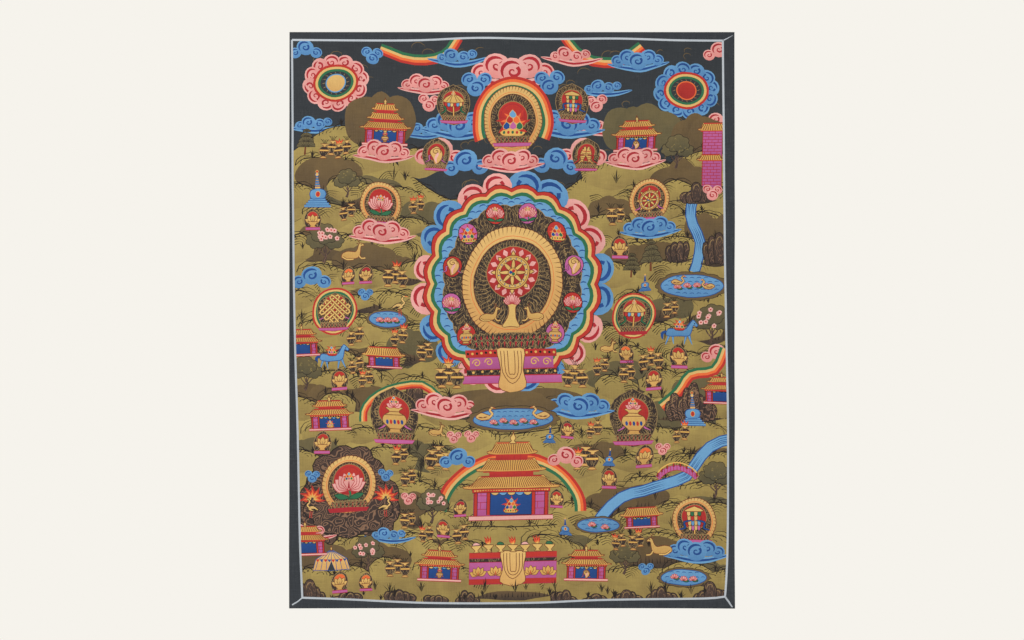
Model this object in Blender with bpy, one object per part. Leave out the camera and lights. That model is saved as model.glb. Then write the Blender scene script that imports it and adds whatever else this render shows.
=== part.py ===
"""Thangka scroll painting, unmounted: one sheet of primed and painted cotton, hung from its top edge.

Metres, +Z up. The origin is the middle of the top edge, on the painted face. The painted face looks
along -Y, and the sheet hangs down from Z = 0.
"""

import math

import bmesh
import bpy

# The cloth, as cut
WIDTH = 0.510
HEIGHT = 0.660
THICKNESS = 0.0010

# The sheet is laid out on an even net of rows and columns
COLUMNS = 30
ROWS = 40

# The strip along the top edge by which the cloth is held lies flat
HELD_ROWS = 2
RELAX_SHARE = 0.16  # of the height, over which the flat strip gives way to the free cloth

# How far the stiff, sized cloth stands proud of a plane, towards the front
SIDE_CURL = 0.0022
SIDE_CURL_POWER = 5
FOOT_CURL = 0.0036
FOOT_CURL_POWER = 6

# Soft swells left in the cloth. "across" and "down" are whole waves over the width and the height,
# "lean" slants a swell, "edge" is the power by which it fades from the sides to the middle (0 = even).
SWELLS = (
    # height, across, down, lean, phase, edge
    {"height": 0.0010, "across": 0.0, "down": 2.6, "lean": 0.30, "phase": 0.15, "edge": 0},
    {"height": 0.0006, "across": 1.4, "down": 0.8, "lean": 0.00, "phase": 0.40, "edge": 0},
    {"height": 0.0008, "across": 0.5, "down": 6.0, "lean": 0.00, "phase": 0.05, "edge": 4},
    {"height": 0.0005, "across": 2.2, "down": 3.4, "lean": 0.20, "phase": 0.70, "edge": 2},
)

CLOTH_COLOUR = (0.235, 0.190, 0.075, 1.0)
CLOTH_ROUGHNESS = 0.82


def clear_scene():
    for item in list(bpy.data.objects):
        bpy.data.objects.remove(item, do_unlink=True)


def ramp(share):
    """0 below 0, 1 above 1 and smooth between."""
    share = min(max(share, 0.0), 1.0)
    return share * share * (3.0 - 2.0 * share)


def stands_proud(x, z):
    """How far the cloth stands towards the front at a point of its plane."""
    side = 2.0 * x / WIDTH
    down = -z / HEIGHT
    freedom = ramp((down - HELD_ROWS / ROWS) / RELAX_SHARE)
    proud = SIDE_CURL * abs(side) ** SIDE_CURL_POWER
    proud += FOOT_CURL * down**FOOT_CURL_POWER
    for swell in SWELLS:
        turns = swell["across"] * side / 2 + swell["down"] * down + swell["lean"] * side + swell["phase"]
        fade = abs(side) ** swell["edge"] if swell["edge"] else 1.0
        proud += swell["height"] * fade * math.sin(2.0 * math.pi * turns)
    return freedom * proud


def cloth_material():
    material = bpy.data.materials.new("painted_cotton")
    material.use_nodes = True
    shader = material.node_tree.nodes["Principled BSDF"]
    shader.inputs["Base Color"].default_value = CLOTH_COLOUR
    shader.inputs["Roughness"].default_value = CLOTH_ROUGHNESS
    shader.inputs["Metallic"].default_value = 0.0
    return material


def painted_cloth():
    """The whole sheet: an even net for the painted face, given its thickness straight back along +Y."""
    net = bmesh.new()
    bmesh.ops.create_grid(net, x_segments=COLUMNS, y_segments=ROWS, size=0.5)
    for corner in net.verts:
        x = corner.co.x * WIDTH
        z = (corner.co.y - 0.5) * HEIGHT
        corner.co = (x, -stands_proud(x, z), z)
    front = list(net.faces)
    bmesh.ops.triangulate(net, faces=front)
    made = bmesh.ops.extrude_face_region(net, geom=list(net.faces), use_keep_orig=True)
    back = [item for item in made["geom"] if isinstance(item, bmesh.types.BMVert)]
    bmesh.ops.translate(net, verts=back, vec=(0.0, THICKNESS, 0.0))
    bmesh.ops.triangulate(net, faces=list(net.faces))
    bmesh.ops.recalc_face_normals(net, faces=list(net.faces))
    mesh = bpy.data.meshes.new("painted_cloth")
    net.to_mesh(mesh)
    net.free()
    mesh.shade_smooth()
    mesh.set_sharp_from_angle(angle=math.radians(40.0))
    mesh.materials.append(cloth_material())
    cloth = bpy.data.objects.new("painted_cloth", mesh)
    bpy.context.scene.collection.objects.link(cloth)
    return cloth


def main():
    clear_scene()
    painted_cloth()


main()
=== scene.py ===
"""The looks of an unmounted thangka: its cloth with the painting on it, a plain stage, lights and a camera.

The painting is laid in flat shapes, as a painter lays distemper, each over those before it. It is planned in
millimetres of cloth: across from the middle, and up from the foot. The shapes then cut up the painted face of
the cloth, so that every face of the mesh wears one paint. Everything else is in metres, in the part's frame.
"""

import math
import random
from contextlib import contextmanager

import bpy
import numpy as np
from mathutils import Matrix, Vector
from mathutils.bvhtree import BVHTree
from mathutils.geometry import delaunay_2d_cdt

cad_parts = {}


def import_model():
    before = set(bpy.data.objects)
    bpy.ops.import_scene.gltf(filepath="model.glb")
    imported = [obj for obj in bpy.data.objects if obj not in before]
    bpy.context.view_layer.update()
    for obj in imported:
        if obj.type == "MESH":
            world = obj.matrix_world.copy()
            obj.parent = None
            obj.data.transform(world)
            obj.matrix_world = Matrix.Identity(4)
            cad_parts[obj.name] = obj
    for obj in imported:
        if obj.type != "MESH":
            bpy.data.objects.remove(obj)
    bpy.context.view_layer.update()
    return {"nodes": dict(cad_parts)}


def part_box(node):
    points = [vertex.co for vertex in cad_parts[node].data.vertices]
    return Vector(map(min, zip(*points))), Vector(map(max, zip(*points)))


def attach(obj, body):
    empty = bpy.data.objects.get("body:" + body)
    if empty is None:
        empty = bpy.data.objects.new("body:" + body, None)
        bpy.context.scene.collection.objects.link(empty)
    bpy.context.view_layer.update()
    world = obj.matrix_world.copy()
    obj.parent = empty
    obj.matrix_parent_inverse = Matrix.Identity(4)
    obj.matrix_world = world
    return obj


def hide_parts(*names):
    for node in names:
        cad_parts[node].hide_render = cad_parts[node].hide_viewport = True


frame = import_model()

MM = 0.001
CLOTH = "painted_cloth"
low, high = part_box(CLOTH)
WIDTH = high.x - low.x
HEIGHT = high.z - low.z
HALF = WIDTH / MM / 2
TALL = HEIGHT / MM

# The net of the sheet in the frame, whose points lie on its swells
FRAME_COLUMNS = 30
FRAME_ROWS = 40
CLOTH_THICKNESS = 0.0010

# The net that the painted face and the back share along the edge
NET_COLUMNS = 60
NET_ROWS = 78
SELVEDGE_MM = 1.0  # no shape comes nearer to the edge than this
SAFE_MM = 1.6  # the shapes are held this far in, so that their joints stay clear of it
JOIN_MM = 0.0004  # points nearer than this become one
LEAST_AREA_MM2 = 0.004  # a smaller shape is left out
STEP_MM = 8.0  # the longest side of a shape
SMOOTH_DEGREES = 40.0  # the cut edge stays crisp and the swells are smooth
SHAPE_MM = 0.18  # how far the final outlines may stray from the painted ones
CLEAR_MM = 2.0  # no point of the net is wanted this near to an outline
CELL_MM = 4.0  # the squares by which the faces under a shape are looked up
TRIANGLES = 1  # the kind of faces asked of the cutter: all those within the hull

chance = random.Random(108)


def srgb(red, green, blue):
    """Linear numbers for a colour given in the 0 to 255 of a screen."""
    shares = (red / 255, green / 255, blue / 255)
    return tuple(c / 12.92 if c <= 0.04045 else ((c + 0.055) / 1.055) ** 2.4 for c in shares)


# The paints: the colour laid thin and the colour of its shading
PAINTS = {
    "lamp_black": (srgb(48, 52, 56), srgb(38, 41, 45)),
    "margin_black": (srgb(50, 54, 59), srgb(38, 41, 45)),
    "gilded_black": (srgb(50, 39, 34), srgb(37, 31, 29)),
    "earth_black": (srgb(72, 56, 48), srgb(48, 40, 38)),
    "whorled_rock": (srgb(64, 48, 42), srgb(44, 36, 34)),
    "hatched_shade": (srgb(96, 76, 52), srgb(62, 50, 41)),
    "old_gold": (srgb(166, 144, 80), srgb(123, 102, 60)),
    "gold_shade": (srgb(108, 87, 54), srgb(84, 68, 48)),
    "bush_green": (srgb(104, 92, 60), srgb(82, 76, 54)),
    "roof_yellow": (srgb(218, 172, 90), srgb(190, 128, 68)),
    "body_gold": (srgb(216, 178, 104), srgb(194, 142, 76)),
    "cream": (srgb(216, 176, 108), srgb(196, 144, 82)),
    "cloud_pink": (srgb(228, 170, 162), srgb(210, 124, 118)),
    "rose_red": (srgb(166, 40, 48), srgb(140, 32, 42)),
    "vermilion": (srgb(182, 50, 42), srgb(140, 34, 36)),
    "orange": (srgb(228, 108, 56), srgb(196, 76, 44)),
    "sky_blue": (srgb(104, 154, 194), srgb(72, 120, 170)),
    "deep_blue": (srgb(32, 72, 134), srgb(26, 54, 104)),
    "leaf_green": (srgb(46, 106, 72), srgb(34, 80, 60)),
    "orchid": (srgb(184, 94, 148), srgb(146, 62, 114)),
    "ink": (srgb(33, 26, 22), srgb(26, 21, 19)),
    "brown_line": (srgb(112, 62, 38), srgb(88, 48, 34)),
    "gold_line": (srgb(152, 124, 80), srgb(128, 102, 68)),
    "border_grey": (srgb(180, 186, 192), srgb(144, 152, 160)),
}


# Outlines and paths


def circle(x, y, r, ry=None, count=18, start=0.0, end=360.0):
    """Points round a circle or oval, from start to end in degrees. A whole one doesn't repeat its start."""
    ry = r if ry is None else ry
    whole = abs(end - start) >= 360.0
    steps = count if whole else count - 1
    turns = [math.radians(start + (end - start) * k / steps) for k in range(count)]
    return [(x + r * math.cos(a), y + ry * math.sin(a)) for a in turns]


def box(x0, y0, x1, y1):
    return [(x0, y0), (x1, y0), (x1, y1), (x0, y1)]


def soft(points, closed=True, bends=4):
    """A soft curve through the points."""
    count = len(points)
    made = []
    for k in range(count if closed else count - 1):
        nxt = (k + 1) % count
        before = points[k - 1] if closed or k else points[0]
        after = points[(nxt + 1) % count] if closed else points[min(nxt + 1, count - 1)]
        a, b = points[k], points[nxt]
        for bend in range(bends):
            t = bend / bends
            t2, t3 = t * t, t * t * t
            made.append(
                tuple(
                    (2 * t3 - 3 * t2 + 1) * a[i]
                    + (t3 - 2 * t2 + t) * (b[i] - before[i]) / 2
                    + (3 * t2 - 2 * t3) * b[i]
                    + (t3 - t2) * (after[i] - a[i]) / 2
                    for i in (0, 1)
                )
            )
    if not closed:
        made.append(points[-1])
    return made


def bowed(*points):
    """A soft open curve through a few points."""
    return soft(points, False, 3)


def both_sides(*right, bends=3):
    """A closed outline from the soft curve of its right half, foot to head, and that half's mirror image."""
    half = soft(right, False, bends) if bends else list(right)
    return half + [(-x, y) for x, y in reversed(half) if x > 1e-6]


def scalloped(x, y, r, ry, lobes, depth, per_lobe=5, start=90.0):
    """An outline of even round lobes whose cusps point in."""
    made = []
    for k in range(lobes * per_lobe):
        a = math.radians(start + 360.0 * k / (lobes * per_lobe))
        bulge = 1.0 + depth * math.sin(math.pi * (k % per_lobe) / per_lobe)
        made.append((x + r * bulge * math.cos(a), y + ry * bulge * math.sin(a)))
    return made


def spiral(r_out, r_in, start, turn, count=18, squash=1.0):
    made = []
    for k in range(count):
        share = k / (count - 1)
        a = math.radians(start + turn * share)
        r = r_out + (r_in - r_out) * share
        made.append((r * math.cos(a), r * squash * math.sin(a)))
    return made


def beside(path, shift):
    """The path moved to its left by shift."""
    made = []
    for k, (x, y) in enumerate(path):
        ax, ay = path[max(k - 1, 0)]
        bx, by = path[min(k + 1, len(path) - 1)]
        long = math.hypot(bx - ax, by - ay) or 1.0
        made.append((x - shift * (by - ay) / long, y + shift * (bx - ax) / long))
    return made


def outward(x, y, w, h, turn, steps):
    """A path out from x, y. Each step is a share of the oval w by h and how far it leans from the turn."""
    return [
        (
            x + w * share * math.cos(turn + lean), y + h * share * math.sin(turn + lean)
        ) for share, lean in steps
    ]


def down(start, full, x=0):
    """Shading down a shape, from the height where it starts to the one where it is full."""
    return (x, start), (x, full)


def near(value, share):
    """The value, a little more or less."""
    return value * chance.uniform(1.0 - share, 1.0 + share)


# How wide a stroke is along its length, as shares of its full width
STROKE_FORMS = {
    "even": lambda t: 1.0,
    "taper": lambda t: 1.0 - 0.8 * t,
    "leaf": lambda t: 0.15 + 0.85 * math.sin(math.pi * min(max(t, 0.0), 1.0)) ** 0.7,
}

# Widths of the fine brushes, in millimetres
FINE = 0.6
LINE = 0.8
BOLD = 1.15
BROAD = 1.7

# The hand isn't quite steady: how far it strays in millimetres, over what length, and from where
HAND = ((1.3, 29.0, 0.4), (0.55, 11.0, 2.1), (0.22, 4.3, 4.0))


class Brushwork:
    """The flat shapes of the painting, in the order in which they are laid."""

    def __init__(self):
        self.spots = []
        self.shapes = []
        self.layers = []
        self.places = [(1.0, 0.0, 0.0, 0.0, 1.0, 0.0)]
        self.steady = False

    @contextmanager
    def at(self, x, y, size=1.0, turn=0.0, flip=False):
        """What is painted inside is moved to x, y, made size times as large, turned and mirrored."""
        c, s = math.cos(math.radians(turn)), math.sin(math.radians(turn))
        way = -size if flip else size
        a, b, u, d, e, v = self.places[-1]
        fa, fb, fd, fe = c * way, -s * size, s * way, c * size
        moved = (
            a * fa + b * fd, a * fb + b * fe, a * x + b * y + u, d * fa + e * fd, d * fb + e * fe,
            d * x + e * y + v
        )
        self.places.append(moved)
        yield self
        self.places.pop()

    def placed(self, point):
        a, b, u, d, e, v = self.places[-1]
        x, y = a * point[0] + b * point[1] + u, d * point[0] + e * point[1] + v
        if not self.steady:
            for far, long, phase in HAND:
                x, y = x + far * math.sin(y / long + phase), y + far * math.sin(x / long + 2 * phase)
        return x, y

    def size(self):
        a, b, _, d, e, _ = self.places[-1]
        return math.sqrt(abs(a * e - b * d))

    def new_layer(self, paint, tone, fade):
        tone = chance.uniform(-1.0, 1.0) if tone is None else tone
        ends = (self.placed(fade[0]), self.placed(fade[1])) if fade else ((0.0, 0.0), (0.0, 0.0))
        self.layers.append((paint, tone, ends))

    def lay(self, outline):
        """One closed outline of the layer begun last, its long sides in steps that can follow the swells."""
        area = sum(a[0] * b[1] - b[0] * a[1] for a, b in zip(outline, outline[1:] + outline[:1]))
        if abs(area) < 2 * LEAST_AREA_MM2:
            return
        outline = [
            (min(max(x, SAFE_MM - HALF), HALF - SAFE_MM), min(max(y, SAFE_MM), TALL - SAFE_MM)) for x,
            y in outline
        ]
        spots = []
        for a, b in zip(outline, outline[1:] + outline[:1]):
            steps = int(math.dist(a, b) / STEP_MM) + 1
            spots += [
                (a[0] + (b[0] - a[0]) * k / steps, a[1] + (b[1] - a[1]) * k / steps) for k in range(steps)
            ]
        self.shapes.append((len(self.spots), len(self.spots) + len(spots), len(self.layers) - 1))
        self.spots.extend(spots)

    def fill(self, outline, paint, line=None, mm=LINE, fade=None, tone=None):
        """A flat shape. line is the paint of its outline; fade is where its shading starts and is full."""
        self.new_layer(paint, tone, fade)
        self.lay([self.placed(p) for p in outline])
        if line:
            self.line(outline + outline[:1], line, mm)

    def stroke(self, path, paint, mm, form, tone):
        spots = [self.placed(p) for p in path]
        spots = [p for k, p in enumerate(spots) if k == 0 or math.dist(p, spots[k - 1]) > 0.02]
        if len(spots) < 2:
            return
        self.new_layer(paint, tone, None)
        last = len(spots) - 1
        closed = math.dist(spots[0], spots[-1]) < 0.05
        left, right = [], []
        for k, (x, y) in enumerate(spots):
            ax, ay = spots[k - 1] if k else spots[-2] if closed else spots[0]
            bx, by = spots[k + 1] if k < last else spots[1] if closed else spots[-1]
            half = mm / 2 * STROKE_FORMS[form](k / last) / (math.hypot(bx - ax, by - ay) or 1.0)
            left.append((x - (by - ay) * half, y + (bx - ax) * half))
            right.append((x + (by - ay) * half, y - (bx - ax) * half))
        self.lay(left + right[::-1])

    def brush(self, path, paint, width, form="even", tone=None):
        """A stroke whose width grows with the motif."""
        self.stroke(path, paint, width * self.size(), form, tone)

    def line(self, path, paint, mm=LINE, form="even"):
        """A stroke of a fine brush, whose width in millimetres is the same on a small motif."""
        self.stroke(path, paint, mm, form, None)

    def edged(self, path, paint, line, width, form="even"):
        """A band with a thin outline of another paint."""
        self.stroke(path, line, width * self.size() + 2 * FINE, form, None)
        self.brush(path, paint, width, form)


# Clouds and rainbows

CLOUD_PAINTS = {"rose": ("cloud_pink", "rose_red"), "blue": ("sky_blue", "deep_blue")}
RAINBOW = ("vermilion", "orange", "cream", "leaf_green")
HALO_BANDS = ("vermilion", "cream", "leaf_green")

# Lobes of a cloud, back to front: across, up and radius in cloud units, and whether the curl is mirrored
CLOUD_PLANS = {
    "bank": (
        (-1.9, 0.0, 0.62, 0), (1.9, -0.05, 0.58, 1), (-0.95, 0.35, 0.82, 0), (1.0, 0.3, 0.78, 1),
        (0, 0, 0.9, 0)
    ),
    "crown": ((-1.2, -0.3, 0.66, 0), (1.2, -0.3, 0.66, 1), (0.0, 0.3, 0.95, 0)),
    "drift": ((-1.5, -0.25, 0.5, 1), (-0.6, 0.1, 0.72, 0), (0.55, -0.1, 0.62, 1), (1.4, 0.15, 0.46, 1)),
    "knot": ((-0.6, 0.35, 0.62, 0), (0.65, 0.25, 0.6, 1), (0.0, -0.4, 0.72, 1)),
}


def curl(art, x, y, r, kind, flip=False, turn=0.0):
    """One round lobe of a cloud: its pale edge, a broad arc of shade within that and a thick curl."""
    pale, deep = CLOUD_PAINTS[kind]
    with art.at(x, y, r, turn, flip):
        art.fill(circle(0, 0, 1.04, 0.94, 15), pale, fade=down(1.3, -1.6))
        art.brush(spiral(0.76, 0.72, 215, -165, 9, 0.88), deep, 0.25, "leaf")
        art.brush(spiral(0.48, 0.06, 50, -400, 13, 0.85), deep, 0.25, "taper")


def cloud(art, x, y, size, kind, plan, flip=False):
    pale, deep = CLOUD_PAINTS[kind]
    with art.at(x, y, size, flip=flip):
        if plan in ("bank", "drift"):
            tail = bowed((-2.9, -0.35), (-1.4, -0.62), (0.2, -0.8), (1.6, -0.62), (3.0, -0.3))
            art.brush(tail, pale, 0.56, "leaf")
            art.brush(tail, deep, 0.2, "leaf")
        for across, up, r, mirrored in CLOUD_PLANS[plan]:
            curl(art, across, up, r, kind, bool(mirrored))


def rainbow(art, path, width):
    """Bands side by side along a path, the first one on its left."""
    band = width / len(RAINBOW)
    for k, paint in enumerate(RAINBOW):
        art.brush(beside(path, width / 2 - band * (k + 0.5)), paint, band * 1.12, tone=0.0)


# Land

FOLD_MM = 9.0  # the radius of a fold on the far hills


def knuckles(art, x, y, size, turn, count, flip):
    """Nested arcs of ink, as on the folds of a painted hillside."""
    with art.at(x, y, size, turn, flip):
        for k in range(count):
            r = 1.0 - 0.22 * k
            path = circle(0.24 * k, -0.12 * k, r, r * 0.8, 5, 172 - 8 * k, 25 + 12 * k)
            art.line(path, "ink", BOLD if k == 0 else LINE, "taper")


def ridge(art, path, size, spacing=1.9):
    """Knuckles set along a ridge, with a blade of grass here and there."""
    gone = 0.0
    for (ax, ay), (bx, by) in zip(path, path[1:]):
        gone += math.hypot(bx - ax, by - ay)
        if gone > spacing * size:
            gone = chance.uniform(0, size * 0.8)
            turn = math.degrees(math.atan2(by - ay, bx - ax))
            around = near(size, 0.3)
            count = chance.choice((3, 4))
            knuckles(art, bx, by - 0.45 * size, around, turn, count, bool(chance.getrandbits(1)))
            if chance.random() < 0.3:
                tuft(art, bx, by, near(size, 0.3))


def hill(art, *top, foot):
    """Land from a soft ridge line down to a level."""
    path = soft(top, False, 6)
    peak = max(y for _, y in top)
    art.fill([(path[-1][0], foot), (path[0][0], foot)] + path, "old_gold", fade=down(peak, 2 * foot - peak))
    art.line(path, "ink", BOLD, "leaf")
    ridge(art, path, FOLD_MM)


def tuft(art, x, y, size, blades=5):
    """A clump of grass: tapered blades from one root, the middle one broad."""
    for k in range(blades):
        lean = (k - (blades - 1) / 2) / blades * 1.3 + chance.uniform(-0.1, 0.1)
        tall = size * (1.0 - 0.55 * abs(lean)) * near(1.0, 0.15)
        path = [(x + lean, y), (x + lean * size * 0.3, y + tall * 0.55), (x + lean * size * 0.8, y + tall)]
        art.line(path, "ink", BROAD if k == blades // 2 else LINE, "leaf")


def grass(art, x, y, w, h, count, size=8.0):
    for _ in range(count):
        root = (x + chance.uniform(-w, w), y + chance.uniform(-h, h))
        tuft(art, *root, near(size, 0.4), chance.choice((3, 5, 7)))


def sweeps(art, x, y, w, count, turn, gap=2.6):
    """Long arcs side by side, as down the flank of a hill."""
    with art.at(x, y, 1.0, turn):
        for k in range(count):
            arc = bowed((1.5 * k - w / 2, -gap * k), (0, w * 0.2 - gap * k), (w / 2 - 2.5 * k, -gap * k))
            art.line(arc, "ink", BOLD if k == 0 else LINE, "taper")


def mound(art, x, y, w, h):
    """A hillock with folds along its top and grass on it."""
    lean = chance.uniform(-0.3, 0.3) * w
    top = soft(
        [
            (x - w, y), (x - w * 0.5 + lean, y + h * 0.75), (x + lean, y + h),
            (x + w * 0.6 + lean * 0.5, y + h * 0.6), (x + w, y - 1)
        ],
        False, 4
    )
    foot = soft([(x + w * 0.9, y - h), (x, y - h * 1.8), (x - w * 0.9, y - h)], False, 3)
    art.fill(top + foot, "old_gold", fade=down(y + h, y - h * 4, x))
    art.line(top, "ink", BOLD, "leaf")
    ridge(art, top, near(10.5, 0.15), 1.3)
    if chance.random() < 0.5:
        sweeps(art, x + lean, y + h * 0.4, w * 0.9, chance.choice((3, 4, 5)), chance.uniform(-25, 25))


def mass(art, x, y, w, h, paint):
    """A broad patch of olive shade in three or four lobes, darker at its hatched foot."""
    lobes = chance.choice((3, 4))
    for k in range(lobes):
        share = (k + 0.5) / lobes * 2 - 1
        wide, tall = w * near(0.5, 0.25), h * near(0.95 - 0.35 * abs(share), 0.15)
        u, v = x + w * 0.62 * share, y - h * 0.15 * chance.random()
        around = [
            (u + wide * math.cos(a) * near(1.0, 0.08), v + tall * math.sin(a) * near(1.0, 0.08))
            for a in (math.tau * step / 8 for step in range(8))
        ]
        art.fill(soft(around, True, 3), paint, fade=down(y + h, y - h * 1.6, x))
    if chance.random() < 0.7:
        shade(art, x + chance.uniform(-0.3, 0.3) * w, y - h * 0.75, w * near(0.7, 0.2), near(8.0, 0.2))


def shade(art, x, y, w, h):
    """A smoky band of fine upright strokes that thin out upwards."""
    over = bowed(
        (x - w, y), (x - w * 0.4, y + h * near(1.0, 0.2)), (x + w * 0.4, y + h * near(0.8, 0.2)),
        (x + w, y + h * 0.2)
    )
    under = bowed((x + w, y + h * 0.2), (x + w * 0.3, y - h * 0.6), (x - w * 0.4, y - h * 0.45), (x - w, y))
    art.fill(over + under[1:-1], "hatched_shade", fade=down(y + h * 1.1, y - h * 0.5, x))
    for k in range(int(w / 2.2)):
        u = x - w + 4.4 * (k + 0.5) + chance.uniform(-1, 1)
        art.line(
            [(u, y), (u + chance.uniform(-0.6, 0.6), y + h * chance.uniform(0.6, 1.2))], "ink", BOLD, "taper"
        )


def bush(art, x, y, w, h, paint="gold_shade", lobes=7, line=None):
    """A lobed mass of leaves or a shaded hillock."""
    outline = scalloped(x, y, w, h, lobes, 0.2, 4, chance.uniform(60, 120))
    art.fill(outline, paint, line, FINE, fade=down(y + h, y - h * 1.6, x))


def tree(art, x, y, tall, crown="round"):
    """A tree by its crown: round and plain, in blossom, or in tiers as a pine."""
    with art.at(x, y, tall):
        if crown == "pine":
            art.brush([(0, 0), (0, 0.9)], "brown_line", 0.07, "taper")
            for k in range(4):
                up, half = 0.28 + 0.18 * k, 0.34 - 0.065 * k
                rim = circle(0, up, half, half * 0.75, 9, 0, 180)
                art.fill(rim, "bush_green", "ink", FINE, fade=down(up + half, up - half))
                for spot in rim[1:-1]:
                    art.line([(spot[0] * 0.25, up + 0.02), spot], "ink", FINE, "taper")
            return
        art.brush(bowed((-0.04, 0), (0.03, 0.2), (0, 0.4)), "earth_black", 0.1, "taper")
        for lean, start in ((-0.75, 0.18), (-0.3, 0.26), (0.12, 0.3), (0.5, 0.26), (0.85, 0.18)):
            art.brush(
                bowed((0, start), (lean * 0.18, start + 0.15), (lean * 0.34, 0.6)), "earth_black", 0.045,
                "taper"
            )
        for u, v, w, h in ((-0.22, 0.62, 0.26, 0.2), (0.24, 0.6, 0.25, 0.19), (0.0, 0.8, 0.33, 0.25)):
            bush(art, u, v, w, h, "bush_green", 7, "ink")
        for _ in range(12):
            a, far = chance.uniform(0, math.tau), math.sqrt(chance.uniform(0, 1))
            u, v = 0.42 * far * math.cos(a), 0.72 + 0.24 * far * math.sin(a)
            if crown == "blossom":
                blossom(art, u, v, 0.06)
            else:
                art.line([(u - 0.04, v), (u, v + 0.05), (u + 0.04, v)], "old_gold", FINE, "leaf")


def blossom(art, x, y, r):
    for k in range(5):
        a = math.radians(90 + 72 * k)
        art.fill(
            circle(x + r * 0.62 * math.cos(a), y + r * 0.62 * math.sin(a), r * 0.55, count=6), "cloud_pink"
        )
    art.fill(circle(x, y, r * 0.42, count=6), "vermilion")


def crag(art, x, y, w, h, paint="earth_black"):
    """A dark rock of upright overlapping lobes on a shaded foot."""
    shade(art, x, y - 1, w * 1.3, 5)
    lobes = max(int(w / 3.4), 4)
    for k in sorted(range(lobes), key=lambda k: -abs(k - (lobes - 1) / 2)):
        share = (k + 0.5) / lobes * 2 - 1
        tall = near(h * (1.0 - 0.5 * abs(share)), 0.2)
        with art.at(x + w * share * 0.8, y + chance.uniform(-2, 2), 1.0, -12 * share):
            half = near(w / lobes * 1.6, 0.2)
            lobe = both_sides(
                (0, -2), (half * 0.7, -1), (half * 1.1, tall * 0.55), (half * 0.6, tall * 0.92), (0, tall)
            )
            art.fill(lobe, paint, "ink", LINE, fade=down(tall, -tall))
            arc = bowed(
                (-half * 0.7, tall * 0.5), (-half * 0.4, tall * 0.78), (half * 0.3, tall * 0.84),
                (half * 0.6, tall * 0.6)
            )
            art.line(arc, "gold_line", LINE, "leaf")


def ripples(art, x, y, w, h, rows):
    """Rows of small round waves."""
    for row in range(rows):
        up = y - h + 2 * h * (row + 0.5) / rows
        half = w * math.sqrt(max(1.0 - ((up - y) / h) ** 2, 0.05))
        count = max(int(half / 3.4), 1)
        for k in range(count):
            centre = x - half + 2 * half * (k + 0.5 + 0.2 * (row % 2)) / count
            r = half / count * 0.8
            art.line(circle(centre, up - r * 0.3, r, r * 0.7, 5, 20, 160), "deep_blue", LINE, "leaf")


def pond(art, x, y, w, h, blooms=3):
    """A pool with waves and lotus flowers."""
    art.fill(scalloped(x, y, w * 1.1, h * 1.2, 14, 0.08, 3), "gold_shade", "ink", FINE)
    art.fill(circle(x, y, w, h, 26), "sky_blue", "deep_blue", LINE, fade=down(y + h, y - 2 * h, x))
    ripples(art, x, y, w * 0.92, h * 0.86, max(int(h / 2.6), 2))
    for k in range(blooms):
        u = x - w * 0.62 + 1.24 * w * (k + 0.5) / blooms
        v = y - h * 0.35 + chance.uniform(-0.2, 0.3) * h
        art.fill(circle(u + 2.6, v - 0.4, 3.4, 1.6, 10), "leaf_green", "ink", FINE)
        lotus(art, u, v, 5.2, 5)


def stream(art, path, width):
    """Running water with long waves along it."""
    art.stroke(path, "deep_blue", width + 2.4, "even", None)
    art.stroke(path, "sky_blue", width, "even", None)
    for share in (-0.3, -0.1, 0.1, 0.3):
        for k in range(0, len(path) - 4, 4):
            wave = beside(path, width * share + chance.uniform(-0.6, 0.6))[k : k + 4]
            art.line(wave, "deep_blue", LINE, "leaf")


# Flowers, jewels and flames

# A tongue of fire, one paint within the other: share of its size, and paint
FLAME = ((1.0, "vermilion"), (0.72, "orange"), (0.44, "roof_yellow"))


def petal(long, wide):
    half = ((0, 0), (wide, long * 0.45), (wide * 0.55, long * 0.8), (0, long))
    return both_sides(*half, bends=2)


def lotus(art, x, y, size, petals=7, pale="cloud_pink", deep="rose_red", line="rose_red"):
    """A lotus from the side, its petals fanned out and the middle one in front."""
    middle = (petals - 1) / 2
    for k in sorted(range(petals), key=lambda k: -abs(k - middle)):
        with art.at(x, y, size, (middle - k) * 132 / (petals - 1)):
            art.fill(petal(1.0, 0.3), pale, line, FINE, fade=down(1.1, -0.7))
            art.brush([(0, 0.1), (0, 0.5)], deep, 0.13, "taper")


def lotus_seat(art, x, y, w, petals=9):
    """Two rows of petals seen from the front, under whatever sits on them."""
    with art.at(x, y, w):
        base = both_sides((0, -0.2), (0.8, -0.2), (1, 0), (0.86, 0.16), (0, 0.2), bends=0)
        art.fill(base, "gilded_black", "gold_line", FINE)
        for k in range(petals):
            u = -0.86 + 1.72 * k / (petals - 1)
            for turn, long in ((180, 0.26), (0, 0.2)):
                with art.at(u, 0, 1.0, turn - u * 14):
                    art.fill(petal(long, 0.09), "gilded_black", "gold_line", FINE)
                    art.brush([(0, 0.03), (0, long * 0.6)], "rose_red", 0.05, "taper")


def flames(art, x, y, r, tongues, spread=250):
    """Tongues of fire round a jewel."""
    bends = [(0.16, 0.3), (0.2, 0.75), (-0.04, 1.22), (-0.04, 0.85), (-0.2, 0.6), (-0.14, 0.3)]
    tongue = soft(bends, True, 2)
    for k in range(tongues):
        turn = (0.5 - k / (tongues - 1)) * spread
        for share, paint in FLAME:
            with art.at(x, y, r * share, turn):
                art.fill(tongue, paint)


# A heap of gems: across, up and paint
GEMS = (
    (-0.42, 0.22, "deep_blue"), (0.42, 0.22, "leaf_green"), (-0.22, 0.62, "vermilion"),
    (0.22, 0.62, "orange"), (0.0, 0.22, "orchid"), (0.0, 0.98, "sky_blue"),
)


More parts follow.
